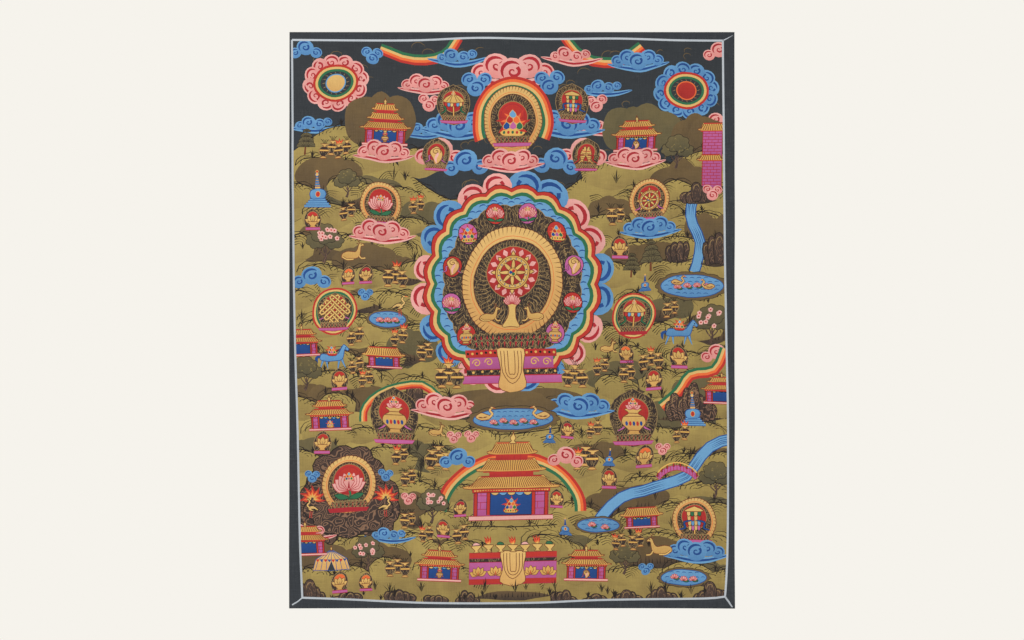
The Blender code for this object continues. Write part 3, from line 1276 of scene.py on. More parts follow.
def ring_of_offerings(art, x, y):
    """Emblems on bright discs round a dark ground with gold hair strokes."""
    art.fill(scalloped(x, y, 77, 87, 24, 0.04, 4), "gilded_black", "gold_line", LINE, tone=0.0)
    rays(art, x, y, 77, 87, 100, ((0.98, 0.0), (0.9, 0.03), (0.8, 0.01)))
    for k, offering in enumerate(OFFERINGS):
        a = math.tau / len(OFFERINGS) * (k + 0.5) + math.pi / 2
        with art.at(x + 72 * math.cos(a), y + 82 * math.sin(a) - 10, 11):
            art.fill(circle(0, 0.9, 1.0, 1.1, 14), "orchid" if k % 2 else "vermilion", "ink", LINE)
            offering(art)


def wheel_on_a_stand(art, x, y):
    """The wheel in a ring of petals before its halo, on a lotus between two deer."""
    ribbed_aureole(art, x, y, 57, 64, 68)
    rays(art, x, y, 44, 49, 46, ((0.92, 0.0), (0.74, 0.07), (0.56, 0.02)), BOLD)
    hub = y + 12
    halo(art, x, hub, 30)
    for k in range(16):
        with art.at(x, hub, 1.0, 22.5 * k):
            blade = [(u, v + 19) for u, v in petal(9.5, 3.2)]
            art.fill(blade, "cloud_pink", "rose_red", FINE, fade=down(28, 10))
    with art.at(x, hub, 19.5):
        law_wheel(art, 40)
    stand = both_sides((0, y - 50), (10, y - 50), (5, y - 40), (4, y - 28), (9, y - 19), (0, y - 13))
    art.fill(stand, "body_gold", "brown_line")
    lotus(art, x, y - 24, 11, 9)
    for side in (-1, 1):
        beast(art, x + side * 25, y - 44, 23, deer, side > 0)


def medallion(art, x, y):
    """The middle of the painting."""
    lobed_border(art, x, y)
    ring_of_offerings(art, x, y)
    wheel_on_a_stand(art, x, y)


def throne(art, x, y):
    """The throne below the wheel, with a lotus seat, banded steps and a drape."""
    lotus_seat(art, x, y + 48, 46, 13)
    steps = (
        (52, 30, 38, "vermilion"), (48, 16, 30, "orchid"), (52, 9, 16, "gilded_black"), (57, 0, 9, "orchid")
    )
    for half, foot, top, paint in steps:
        art.fill(
            box(x - half, y + foot, x + half, y + top), paint, "rose_red", LINE,
            fade=down(y + top, y + foot - 14)
        )
        for k in range(int(half / 2.6)):
            if paint != "orchid":
                art.fill(
                    circle(x - half + 5.2 * (k + 0.5), y + (foot + top) / 2, 1.5, count=7),
                    "roof_yellow" if k % 2 else "ink"
                )
    for across in (-40, -26, 26, 40):
        with art.at(x + across, y + 23, 1.0, 0, across < 0):
            art.line(spiral(5.0, 1.0, 0, 480, 16), "roof_yellow", BOLD)
    folds(art, x, y - 8, 46, 0.34)
    for side in (-1, 1):
        urns(art, x + side * 72, y - 4, 3, 30)


def top_arch(art, x, y):
    """Jewels in a rainbow arch, among clouds and smaller shrines."""
    for dx, dy, size, kind, plan in (
        (0, 74, 19, "rose", "bank"), (-62, 14, 15, "blue", "bank"), (62, 14, 15, "blue", "bank"),
        (-42, 62, 14, "blue", "knot"),
        (42, 62, 14, "blue", "knot"), (-82, -18, 15, "rose", "crown"), (82, -18, 15, "rose", "crown"),
        (-52, -30, 14, "blue", "crown"),
        (52, -30, 14, "blue", "crown"), (-96, 40, 10, "rose", "knot"), (96, 40, 10, "rose", "knot"),
    ):
        cloud(art, x + dx, y + dy, size, kind, plan, dx > 0)
    shrine(art, x - 68, y + 24, 29, parasol)
    shrine(art, x + 68, y + 24, 29, banner)
    shrine(art, x - 86, y - 32, 24, conch)
    shrine(art, x + 86, y - 32, 24, fishes)
    rainbow(art, circle(x, y + 16, 40, 46, 34, 205, -25), 13)
    ribbed_aureole(art, x, y + 18, 33, 39, 56)
    shrine(art, x, y - 2, 40, treasure, "none")
    cloud(art, x, y - 28, 13, "rose", "bank")


def left_side(art):
    pagoda(art, -146, 532, 27, 3, vase)
    cloud(art, -146, 522, 12, "rose", "bank")
    urns(art, -202, 516, 4)
    tree(art, -236, 520, 32, "pine")
    stupa(art, -222, 460, 15)
    tree(art, -188, 470, 30)
    shrine(art, -150, 446, 32, big_lotus, "aureole")
    cloud(art, -150, 430, 13, "rose", "bank")
    tree(art, -216, 396, 42, "blossom")
    beast(art, -184, 398, 26, deer)
    cloud(art, -230, 378, 12, "blue", "crown")
    urns(art, -134, 368, 3)
    shrine(art, -203, 326, 32, knot, "rainbow")
    pond(art, -142, 330, 21, 9)
    beast(art, -128, 334, 26, crane)
    pagoda(art, -240, 292, 22, 2)
    hall(art, -146, 276, 18, 12)
    roof(art, -146, 288, 25, 10)
    beast(art, -204, 274, 32, horse)
    tree(art, -236, 250, 36)
    crag(art, -112, 236, 16, 20)
    pagoda(art, -210, 206, 25, 2, treasure)
    rainbow(art, bowed((-80, 238), (-104, 256), (-142, 250), (-168, 230), (-172, 212)), 9)
    shrine(art, -136, 198, 42, vase)
    for x, y, w, h in ((-214, 118, 26, 40), (-158, 118, 28, 38), (-188, 146, 40, 36), (-186, 118, 46, 34)):
        art.fill(
            scalloped(x, y, w, h, 9, 0.14, 4, near(80, 0.3)), "whorled_rock", "ink", BOLD,
            fade=down(y + h, y - h * 2, x)
        )
    for x in (-228, -144):
        cloud(art, x, 152, 7, "blue", "knot")
        flames(art, x, 126, 13, 7, 200)
    for x in (-229, -143):
        beast(art, x, 104, 24, crane, x < -186)
    shrine(art, -186, 120, 42, big_lotus, "aureole", "rose_red")
    cloud(art, -236, 88, 12, "rose", "drift")
    cloud(art, -140, 84, 10, "blue", "drift")
    tent(art, -208, 44, 21)
    tree(art, -166, 42, 36, "blossom")
    pagoda(art, -236, 64, 24, 2)
    urns(art, -132, 36, 3)


def right_side(art):
    bricks(art, 218, 474, 240, 546)
    roof(art, 229, 546, 17, 9)
    roof(art, 229, 512, 16, 7)
    pagoda(art, 142, 526, 26, 2, conch)
    cloud(art, 142, 516, 12, "rose", "bank")
    tree(art, 190, 502, 36)
    shrine(art, 158, 452, 31, wheel, "aureole")
    cloud(art, 158, 436, 12, "blue", "bank")
    urns(art, 120, 440, 2)
    stream(art, bowed((210, 476), (205, 448), (214, 418), (208, 384)), 10)
    crag(art, 212, 466, 18, 18)
    cloud(art, 230, 476, 9, "rose", "knot")
    crag(art, 188, 398, 12, 28)
    crag(art, 232, 394, 14, 36)
    tree(art, 158, 386, 38, "pine")
    tree(art, 136, 380, 30, "pine")
    pond(art, 206, 368, 36, 13, 4)
    beast(art, 190, 368, 18, swan)
    beast(art, 224, 364, 18, swan, True)
    shrine(art, 140, 322, 31, parasol, "rainbow", "rose_red")
    tree(art, 230, 302, 42, "blossom")
    beast(art, 194, 300, 34, horse)
    cloud(art, 236, 290, 10, "rose", "crown")
    urns(art, 160, 274, 3)
    rainbow(art, bowed((246, 296), (232, 272), (204, 266), (190, 246), (170, 230)), 12)
    crag(art, 204, 216, 30, 36, "whorled_rock")
    stupa(art, 206, 208, 14)
    shrine(art, 138, 198, 42, vase)
    stream(art, bowed((262, 196), (226, 184), (200, 150), (164, 138), (126, 128), (98, 98)), 11)
    pond(art, 100, 96, 24, 8, 2)
    bridge(art, 190, 150, 23, 6)
    tree(art, 234, 126, 38)
    hall(art, 150, 94, 18, 12)
    roof(art, 150, 106, 25, 10)
    shrine(art, 210, 82, 34, banner, "aureole")
    cloud(art, 210, 64, 13, "blue", "bank")
    beast(art, 168, 60, 28, deer, True)
    tree(art, 128, 40, 34)
    pond(art, 196, 34, 26, 9, 3)
    pagoda(art, 240, 236, 22, 2)


def below(art):
    """What lies under the throne: a lake, a palace and a table of offerings."""
    for side in (-1, 1):
        cloud(art, side * 76, 232, 14, "rose" if side < 0 else "blue", "bank", side > 0)
    bush(art, 0, 232, 44, 14, lobes=5)
    pond(art, 0, 216, 46, 12, 5)
    for x, flip in ((-32, False), (32, True)):
        beast(art, x, 214, 24, swan, flip)
    for side in (-1, 1):
        urns(art, side * 84, 160, 3, 28)
    rainbow(art, circle(0, 112, 80, 60, 30, 180, 0), 13)
    for side in (-1, 1):
        cloud(art, side * 62, 172, 11, "blue" if side < 0 else "rose", "crown", side > 0)
    pagoda(art, 0, 106, 50, 3, treasure)
    for side in (-1, 1):
        pagoda(art, side * 84, 34, 26, 2, vase if side < 0 else conch)
    tree(art, -90, 98, 36, "blossom")
    altar(art, 0, 28, 50, 36)
    for x, w, h in (
        (-232, 18, 24), (-190, 16, 16), (-130, 18, 18), (-88, 14, 12), (-52, 14, 16), (58, 14, 16),
        (92, 14, 12), (130, 18, 16),
        (170, 18, 17), (226, 20, 22),
    ):
        crag(art, x, 6, w, h)
    shade(art, 0, 12, 46, 6)
    grass(art, 0, 14, 230, 6, 30, 11)


# Paints of the open ground, on which there is room for more
OPEN_GROUND = ("old_gold", "gold_shade", "bush_green", "hatched_shade", "lamp_black", "ink")
ROOM_MM = 4.0  # the squares in which it is looked for
GAP_ROWS = range(462, 24, -8)
GAP_COLUMNS = range(-228, 229, 10)


def in_the_gaps(art):
    """Small jars, shrines, deer, stupas and clouds wherever the open ground still has room."""
    taken = set()
    seen = 0

    def keep_taken():
        for first, end, layer in art.shapes[seen:]:
            if art.layers[layer][0] not in OPEN_GROUND:
                taken.update((int(x // ROOM_MM), int(y // ROOM_MM)) for x, y in art.spots[first:end])
        return len(art.shapes)

    for y in GAP_ROWS:
        for x in sorted(GAP_COLUMNS, key=lambda x: chance.random()):
            seen = keep_taken()
            column, row = int(x // ROOM_MM), int(y // ROOM_MM)
            if any((column + i, row + j) in taken for i in range(-2, 3) for j in range(-2, 3)):
                continue
            pick = chance.random()
            if pick < 0.45:
                urns(art, x, y - 10, 2, 21)
            elif pick < 0.75:
                small_shrine(
                    art, x, y - 9, near(19, 0.15), chance.choice(("vermilion", "rose_red", "orange"))
                )
            elif pick < 0.83:
                beast(art, x, y - 8, 18, deer, chance.random() < 0.5)
            elif pick < 0.89:
                stupa(art, x, y - 10, 7)
            else:
                cloud(art, x, y, 7, chance.choice(("rose", "blue")), "knot")


def margin(art):
    """The dark margin, and the pale line round it, drawn by hand and nowhere quite straight."""
    left = (
        (-252.2, 651), (-251.4, 560), (-251.0, 470), (-249.6, 360), (-247.4, 270), (-245.0, 180),
        (-243.0, 90), (-240.0, 12.2)
    )
    foot = ((-240.0, 12.2), (-192, 10.4), (-94, 6.0), (20, 6.2), (100, 9.4), (216, 11.2), (243.8, 13.6))
    right = (
        (243.8, 13.6), (246.6, 60), (247.4, 140), (247.0, 236), (245.2, 330), (243.4, 430), (242.6, 540),
        (241.6, 650.2)
    )
    top = (
        (241.6, 650.2), (190, 650.6), (120, 652.6), (40, 652.0), (-40, 653.4), (-120, 650.4), (-252.2, 651)
    )
    corners = {
        "left": (-HALF, 0, -HALF, TALL), "foot": (HALF, 0, -HALF, 0), "right": (HALF, TALL, HALF, 0),
        "top": (-HALF, TALL, HALF, TALL)
    }
    art.steady = True
    paths = {name: soft(points, False, 6) for name, points in zip(corners, (left, foot, right, top))}
    for name, path in paths.items():
        x0, y0, x1, y1 = corners[name]
        art.fill(path + [(x0, y0), (x1, y1)], "margin_black", tone=chance.uniform(-0.4, 0.4))
    for path in paths.values():
        art.line(path, "border_grey", 2.3)
    art.line([(242.4, 650.6), (247.0, 652.8), (254.4, 656.4)], "border_grey", 1.5, "taper")
    art.line([(243.8, 13.2), (248.4, 7.0), (251.8, 0.8)], "border_grey", 2.0)
    art.line([(-240.0, 12.2), (-245.0, 8.0), (-251.6, 4.0)], "border_grey", 1.4)


def painting():
    art = Brushwork()
    sky(art)
    far_land(art)
    ground_cover(art)
    top_arch(art, 0, 540)
    left_side(art)
    right_side(art)
    medallion(art, 0, 372)
    throne(art, 0, 258)
    below(art)
    in_the_gaps(art)
    margin(art)
    return art


# The cloth


def frame_swells():
    """How far the painted face of the frame's sheet lies from Y = 0, on the points of its net."""
    node = frame["nodes"][CLOTH]
    tree = BVHTree.FromPolygons([v.co for v in node.data.vertices], [p.vertices for p in node.data.polygons])
    inset = 0.0001
    depths = np.zeros((FRAME_ROWS + 1, FRAME_COLUMNS + 1))
    for row in range(FRAME_ROWS + 1):
        for column in range(FRAME_COLUMNS + 1):
            x = min(max(low.x + WIDTH * column / FRAME_COLUMNS, low.x + inset), high.x - inset)
            z = min(max(low.z + HEIGHT * row / FRAME_ROWS, low.z + inset), high.z - inset)
            hit, _, _, _ = tree.ray_cast(Vector((x, low.y - 1.0, z)), Vector((0.0, 1.0, 0.0)))
            depths[row, column] = hit.y
    return depths


def cubic_weights(t):
    return np.stack(
        [
            (-t + 2 * t**2 - t**3) / 2, (2 - 5 * t**2 + 3 * t**3) / 2, (t + 4 * t**2 - 3 * t**3) / 2,
            (t**3 - t**2) / 2
        ]
    )


def settled(depths, x, z):
    """The sheet's soft surface between the points of the frame's net, at many places at once."""
    u = np.clip((x - low.x) / WIDTH * FRAME_COLUMNS, 0, FRAME_COLUMNS - 1e-6)
    v = np.clip((z - low.z) / HEIGHT * FRAME_ROWS, 0, FRAME_ROWS - 1e-6)
    column, row = u.astype(int), v.astype(int)
    across, up = cubic_weights(u - column), cubic_weights(v - row)
    y = np.zeros_like(x)
    for j in range(4):
        for i in range(4):
            rows = np.clip(row + j - 1, 0, FRAME_ROWS)
            columns = np.clip(column + i - 1, 0, FRAME_COLUMNS)
            y += up[j] * across[i] * depths[rows, columns]
    return y


def rim_loop():
    """Points round the cloth's edge, in order."""
    across = [2 * HALF * k / NET_COLUMNS - HALF for k in range(NET_COLUMNS)]
    up = [TALL * k / NET_ROWS for k in range(NET_ROWS)]
    foot, right = [(x, 0.0) for x in across], [(HALF, y) for y in up]
    return foot + right + [(-x, TALL) for x, _ in foot] + [(-HALF, TALL - y) for _, y in right]


def inner_net():
    """Points of a ring just inside the edge, and an even net of points within that."""
    inner = HALF - SELVEDGE_MM
    ring = [(min(max(x, -inner), inner), min(max(y, SELVEDGE_MM), TALL - SELVEDGE_MM)) for x, y in rim_loop()]
    columns = [2 * HALF * k / NET_COLUMNS - HALF for k in range(1, NET_COLUMNS)]
    rows = [TALL * k / NET_ROWS for k in range(1, NET_ROWS)]
    return ring, [(x, y) for y in rows for x in columns]


def within(outline, x, y):
    """Which of the points lie inside an outline that may cross itself."""
    ax, ay = outline[:, 0:1], outline[:, 1:2]
    bx, by = np.roll(outline[:, 0:1], -1, 0), np.roll(outline[:, 1:2], -1, 0)
    side = (bx - ax) * (y - ay) - (x - ax) * (by - ay)
    upward = (ay <= y) & (by > y) & (side > 0)
    downward = (ay > y) & (by <= y) & (side < 0)
    return (upward.sum(0) - downward.sum(0)) != 0


def layers_on(art, x, y):
    """The layer of paint that is uppermost at each of the points, or -1 where the ground is bare."""
    columns, rows = int(2 * HALF / CELL_MM) + 1, int(TALL / CELL_MM) + 1
    cell = (
        (y / CELL_MM).astype(int).clip(0, rows - 1)
    ) * columns + ((x + HALF) / CELL_MM).astype(int).clip(0, columns - 1)
    order = np.argsort(cell, kind="stable")
    starts = np.searchsorted(cell[order], np.arange(rows * columns + 1))
    upper = np.full(len(x), -1)
    spots = np.array(art.spots)
    for first, end, layer in art.shapes:
        outline = spots[first:end]
        low_x, low_y = outline.min(0)
        high_x, high_y = outline.max(0)
        left, right = (int((v + HALF) / CELL_MM) for v in (low_x, high_x))
        near = np.concatenate(
            [
                order[starts[row * columns + left] : starts[row * columns + right + 1]]
                for row in range(int(low_y / CELL_MM), int(high_y / CELL_MM) + 1)
            ]
        )
        u, v = x[near], y[near]
        near = near[(u > low_x) & (u < high_x) & (v > low_y) & (v < high_y)]
        if len(near):
            upper[near[within(outline, x[near], y[near])]] = layer
    return upper


def seen_edges(faces, upper):
    """The edges between faces whose uppermost layers differ."""
    ends = np.array(faces)[:, [0, 1, 1, 2, 2, 0]].reshape(-1, 2)
    ends.sort(axis=1)
    layer = np.repeat(upper, 3)
    order = np.lexsort((ends[:, 1], ends[:, 0]))
    ends, layer = ends[order], layer[order]
    same = (ends[:-1] == ends[1:]).all(axis=1)
    return ends[:-1][same & (layer[:-1] != layer[1:])]


def straightened(chain, spots):
    """The points of a chain that it needs, to keep its shape and to have no long side."""
    keep = [0, len(chain) - 1]
    spans = [(0, len(chain) - 1)]
    while spans:
        first, last = spans.pop()
        if last - first < 2:
            continue
        a, b = spots[chain[first]], spots[chain[last]]
        inner = spots[chain[first + 1 : last]]
        way = b - a
        long = math.hypot(*way)
        if long < 1e-6:
            off = np.hypot(*(inner - a).T)
        else:
            off = np.abs((inner[:, 0] - a[0]) * way[1] - (inner[:, 1] - a[1]) * way[0]) / long
        worst = int(off.argmax())
        if off[worst] > SHAPE_MM or long > STEP_MM * 1.5:
            if off[worst] <= SHAPE_MM:
                worst = len(inner) // 2
            middle = first + 1 + worst
            keep.append(middle)
            spans += [(first, middle), (middle, last)]
    return [chain[k] for k in sorted(keep)]


def chains_of(edges):
    """The edges as runs of points, from one meeting place to the next, or round a closed loop."""
    beside = {}
    for a, b in edges.tolist():
        beside.setdefault(a, []).append(b)
        beside.setdefault(b, []).append(a)
    walked = set()
    chains = []
    meeting = [k for k, near in beside.items() if len(near) != 2]
    for start in meeting + list(beside):
        for step in beside[start]:
            if (start, step) in walked:
                continue
            chain = [start, step]
            walked.update(((start, step), (step, start)))
            while len(beside[chain[-1]]) == 2 and chain[-1] != start:
                a, b = beside[chain[-1]]
                onward = b if a == chain[-2] else a
                walked.update(((chain[-1], onward), (onward, chain[-1])))
                chain.append(onward)
            chains.append(chain)
    return chains


def cut_up(points, cuts):
    """The whole cloth in triangles, with points and edges at the given places."""
    rim = rim_loop()
    around = list(range(len(points), len(points) + len(rim)))
    cuts = list(cuts) + list(zip(around, around[1:] + around[:1]))
    places = [Vector(p) for p in points + rim]
    spots, _, faces, _, _, _ = delaunay_2d_cdt(places, cuts, [], TRIANGLES, JOIN_MM, False)
    return np.array([tuple(p) for p in spots]), faces


def face_layers(art, spots, faces):
    middle = spots[np.array(faces)].mean(1)
    return layers_on(art, middle[:, 0], middle[:, 1])


def seen_outlines(art):
    """Points and cuts along the outlines that stay in sight, once every layer is laid."""
    cuts = []
    for first, end, _ in art.shapes:
        around = list(range(first, end))
        cuts += zip(around, around[1:] + around[:1])
    spots, faces = cut_up(art.spots, cuts)
    edges = seen_edges(faces, face_layers(art, spots, faces))
    chains = [straightened(np.array(chain), spots) for chain in chains_of(edges)]
    used = sorted({k for chain in chains for k in chain})
    renamed = {k: place for place, k in enumerate(used)}
    return spots[used], [(renamed[a], renamed[b]) for chain in chains for a, b in zip(chain, chain[1:])]


def clear_of(places, others):
    """The places that have none of the others near them."""
    taken = {(int(x / CLEAR_MM), int(y / CLEAR_MM)) for x, y in others}
    return [
        (x, y)
        for x, y in places
        if not any(
            (int(x / CLEAR_MM) + i, int(y / CLEAR_MM) + j) in taken for i in (-1, 0, 1) for j in (-1, 0, 1)
        )
    ]


def paint_faces(mesh, art, top_layer):
    """The paint of each face, and how light its layer was laid."""
    names = list(PAINTS)
    slots = np.array([names.index(paint) for paint, _, _ in art.layers] + [names.index("lamp_black")])
    tones = np.array([tone for _, tone, _ in art.layers] + [0.0])
    mesh.polygons.foreach_set("material_index", slots[top_layer].astype(np.int32))
    tone = mesh.attributes.new("tone", "FLOAT", "FACE")
    tone.data.foreach_set("value", tones[top_layer].astype(np.float32))


def shade_faces(mesh, art, top_layer, corners):
    """How far each corner of each face lies into the shading of its layer, from nought to one."""
    starts = np.array([fade[0] for _, _, fade in art.layers] + [(0.0, 0.0)])
    ends = np.array([fade[1] for _, _, fade in art.layers] + [(0.0, 0.0)])
    layer = np.repeat(top_layer, 3)
    way = (ends - starts)[layer]
    long = (way**2).sum(1)
    gone = ((corners.reshape(-1, 2) - starts[layer]) * way).sum(1)
    wash = np.where(long > 0, gone / np.maximum(long, 1e-9), 0.0)
    attribute = mesh.attributes.new("wash", "FLOAT", "CORNER")
    attribute.data.foreach_set("value", np.clip(wash, 0, 1).astype(np.float32))


def painted_face(art, materials):
    """The front of the cloth, cut up along the outlines of the painting, still flat."""
    outline_spots, cuts = seen_outlines(art)
    ring, net = inner_net()
    points = outline_spots.tolist() + ring + clear_of(net, outline_spots)
    spots, faces = cut_up(points, cuts)
    places = np.stack([spots[:, 0] * MM, spots[:, 0] * 0, (spots[:, 1] - TALL) * MM + high.z], 1)
    mesh = bpy.data.meshes.new("thangka")
    mesh.from_pydata(places.tolist(), [], faces)
    for name in PAINTS:
        mesh.materials.append(materials[name])
    top_layer = face_layers(art, spots, faces)
    paint_faces(mesh, art, top_layer)
    shade_faces(mesh, art, top_layer, spots[np.array(faces)])
    face = bpy.data.objects.new("thangka", mesh)
    bpy.context.scene.collection.objects.link(face)
    return face


def only(obj):
    bpy.ops.object.select_all(action="DESELECT")
    obj.select_set(True)
    bpy.context.view_layer.objects.active = obj


def cloth_back(materials):
    """The back of the cloth: an even net, facing +Y."""
    bpy.ops.object.select_all(action="DESELECT")
    bpy.ops.mesh.primitive_grid_add(
        x_subdivisions=NET_COLUMNS, y_subdivisions=NET_ROWS, size=1.0, location=(
            0, CLOTH_THICKNESS, high.z - HEIGHT / 2
        ),
        rotation=(math.radians(-90), 0, 0), scale=(1, 1, 1),
    )
    back = bpy.context.active_object
    back.scale = (WIDTH, HEIGHT, 1.0)
    bpy.ops.object.transform_apply(location=True, rotation=True, scale=True)
    back.data.materials.append(materials["raw_cotton"])
    return back


# Where the painted face, the cut edge and the back lie on the map for baking, as shares of its width
FACE_SHARE = 0.775
EDGE_FROM, EDGE_SHARE = 0.78, 0.01
BACK_FROM, BACK_SHARE = 0.795, 0.2


def lay_out(mesh, flat):
    """The map for baking, from the places of the vertices on the cloth while it is still flat."""
    vertex = np.empty(len(mesh.loops), dtype=np.int32)
    mesh.loops.foreach_get("vertex_index", vertex)
    sides = np.empty(len(mesh.polygons), dtype=np.int32)
    mesh.polygons.foreach_get("loop_total", sides)
    facing = np.empty(len(mesh.polygons) * 3)
    mesh.polygons.foreach_get("normal", facing)
    facing = np.repeat(facing.reshape(-1, 3), sides, axis=0)
    across = (flat[vertex, 0] - low.x) / WIDTH
    up = (flat[vertex, 2] - high.z) / HEIGHT + 1.0
    depth = flat[vertex, 1] / CLOTH_THICKNESS
    front, back = facing[:, 1] < -0.5, facing[:, 1] > 0.5
    upright = np.abs(facing[:, 0]) > 0.5
    side = np.where(upright, facing[:, 0] > 0, 2 + (facing[:, 2] > 0))
    along = np.where(upright, up, across)
    u = np.where(
        front, across * FACE_SHARE,
        np.where(back, BACK_FROM + across * BACK_SHARE, EDGE_FROM + depth * EDGE_SHARE)
    )
    v = np.where(front | back, up, (side + 0.02 + 0.96 * along) / 4)
    bake_map = mesh.uv_layers.new(name="OFBake")
    bake_map.data.foreach_set("uv", np.stack([u, v], 1).astype(np.float32).ravel())


def join_round_the_edge(face, back):
    """One mesh of the two, with a strip between their edges."""
    only(face)
    back.select_set(True)
    bpy.ops.object.join()
    only(face)
    bpy.ops.object.mode_set(mode="EDIT")
    bpy.ops.mesh.select_mode(type="EDGE")
    bpy.ops.mesh.select_all(action="DESELECT")
    bpy.ops.mesh.select_non_manifold(
        extend=False, use_wire=False, use_multi_face=False, use_non_contiguous=False, use_verts=False
    )
    bpy.ops.mesh.bridge_edge_loops()
    bpy.ops.object.mode_set(mode="OBJECT")


def whole_cloth(art, materials):
    """The painted face and the raw back, joined round the edge, then settled on the frame's swells."""
    cloth = painted_face(art, materials)
    join_round_the_edge(cloth, cloth_back(materials))
    mesh = cloth.data
    co = np.empty(len(mesh.vertices) * 3)
    mesh.vertices.foreach_get("co", co)
    co = co.reshape(-1, 3)
    lay_out(mesh, co)
    co[:, 1] += settled(frame_swells(), co[:, 0], co[:, 2])
    mesh.vertices.foreach_set("co", co.ravel())
    mesh.update()
    bpy.ops.object.shade_smooth_by_angle(angle=math.radians(SMOOTH_DEGREES))
    return cloth


# Materials


class Nodes:
    """Places shader nodes in a tree, one after another."""

    def __init__(self, tree):
        self.tree = tree
        self.count = 0

    def add(self, kind, settings=None, **inputs):
        node = self.tree.nodes.new(kind)
        node.location = (self.count * 180, 0)
        self.count += 1
        for name, value in (settings or {}).items():
            setattr(node, name, value)
        for name, value in inputs.items():
            socket = node.inputs[int(name[1:])] if name[0] == "i" and name[1:].isdigit() else node.inputs[
                name.replace("_", " ")
            ]
            if isinstance(value, bpy.types.NodeSocket):
                self.tree.links.new(value, socket)
            else:
                socket.default_value = value
        return node

    def maths(self, operation, a, b=0.0, clamp=False):
        return self.add("ShaderNodeMath", {"operation": operation, "use_clamp": clamp}, i0=a, i1=b).outputs[0]

    def plus(self, a, b, clamp=False):
        return self.maths("ADD", a, b, clamp)

    def times(self, a, b, clamp=False):
        return self.maths("MULTIPLY", a, b, clamp)

    def minus(self, a, b):
        return self.maths("SUBTRACT", a, b)

    def sine(self, turns):
        return self.maths("SINE", self.times(turns, math.tau))

    def mix(self, share, a, b):
        return self.add(
            "ShaderNodeMix", {"data_type": "RGBA", "clamp_factor": True}, i0=share, i6=a, i7=b
        ).outputs[2]

    def noise(self, where, scale, detail):
        return self.add("ShaderNodeTexNoise", Vector=where, Scale=scale, Detail=detail).outputs["Fac"]

    def centred(self, value):
        return self.minus(value, 0.5)

    def above(self, value, level, slope):
        """From nought to one as the value rises past a level."""
        return self.times(self.minus(value, level), slope, clamp=True)


def rgba(colour):
    return (*colour[:3], 1.0)


# What the group of the paints takes in
PAINT_INPUTS = (
    ("Paint", "NodeSocketColor", (0.5, 0.5, 0.5, 1)),
    ("Shading", "NodeSocketColor", (0.3, 0.3, 0.3, 1)),
    ("Rubbed", "NodeSocketColor", (0.3, 0.3, 0.3, 1)),
    ("Hair", "NodeSocketColor", (0.3, 0.3, 0.3, 1)),
    ("Mottle", "NodeSocketFloat", 0.3),
    ("Patches", "NodeSocketFloat", 0.0),
    ("Streak", "NodeSocketFloat", 0.1),
    ("Rub", "NodeSocketFloat", 0.1),
    ("Hairs", "NodeSocketFloat", 0.0),
    ("Thinning", "NodeSocketFloat", 0.0),
    ("Whorls", "NodeSocketFloat", 0.0),
    ("Matt", "NodeSocketFloat", 0.8),
)

# How fine each pattern of the paint and the cloth is, per metre
CLOUDING = 9.0
PATCHES = 26.0
MOTTLE = 70.0
BREAKS = 240.0  # gaps in the hair strokes
HAIRS_APART = 420.0
WHORL_CELLS = 78.0
GRAIN = 900.0
SLUBS_LEVEL = (60.0, 60.0, 900.0)
SLUBS_UPRIGHT = (900.0, 60.0, 60.0)
RINGS_PER_CELL = 5.5
WHORL_DRIFT = 0.016
WEAVE_PITCH = 0.00065
RELIEF = 0.00012


def group_sockets(tree):
    outputs = (
        ("Colour", "NodeSocketColor"), ("Roughness", "NodeSocketFloat"), ("Normal", "NodeSocketVector")
    )
    for name, kind, value in PAINT_INPUTS:
        tree.interface.new_socket(name, in_out="INPUT", socket_type=kind).default_value = value
    for name, kind in outputs:
        tree.interface.new_socket(name, in_out="OUTPUT", socket_type=kind)


def slubs_and_weave(n, where):
    """Two heights: the thick places in the yarn, and the plain weave."""
    level = n.noise(n.add("ShaderNodeMapping", i0=where, Scale=SLUBS_LEVEL).outputs[0], 1.0, 2.0)
    upright = n.noise(n.add("ShaderNodeMapping", i0=where, Scale=SLUBS_UPRIGHT).outputs[0], 1.0, 2.0)
    parts = n.add("ShaderNodeSeparateXYZ", i0=where).outputs
    warp, weft = (n.sine(n.times(parts[axis], 1 / WEAVE_PITCH)) for axis in "XZ")
    return n.minus(n.plus(level, upright), 1.0), n.times(warp, weft)


def hair_strokes(n, where, mottle, wash, given):
    """Where upright hair strokes lie, broken here and there, and thinner where the shading starts."""
    across = n.add("ShaderNodeSeparateXYZ", i0=where).outputs["X"]
    stray = n.plus(n.times(across, HAIRS_APART), n.times(mottle, 9.0))
    thin = n.times(n.minus(1.0, wash), given["Thinning"])
    hair = n.above(n.minus(n.sine(stray), thin), 0.3, 2.2)
    return n.times(n.times(hair, n.above(n.noise(where, BREAKS, 1.0), 0.42, 9.0)), given["Hairs"])


def whorls(n, where, mottle, given):
    """Rings round scattered centres, as on a painted rock."""
    drift = n.add("ShaderNodeTexNoise", Vector=where, Scale=75.0, Detail=1.0).outputs["Color"]
    moved = n.add(
        "ShaderNodeVectorMath", {"operation": "MULTIPLY_ADD"}, i0=drift, i1=(WHORL_DRIFT,) * 3, i2=where
    )
    cells = n.add("ShaderNodeTexVoronoi", Vector=moved.outputs[0], Scale=WHORL_CELLS).outputs["Distance"]
    rings = n.sine(n.plus(n.times(cells, RINGS_PER_CELL), n.times(mottle, 5.0 / math.tau)))
    return n.times(n.above(rings, 0.35, 2.5), given["Whorls"])


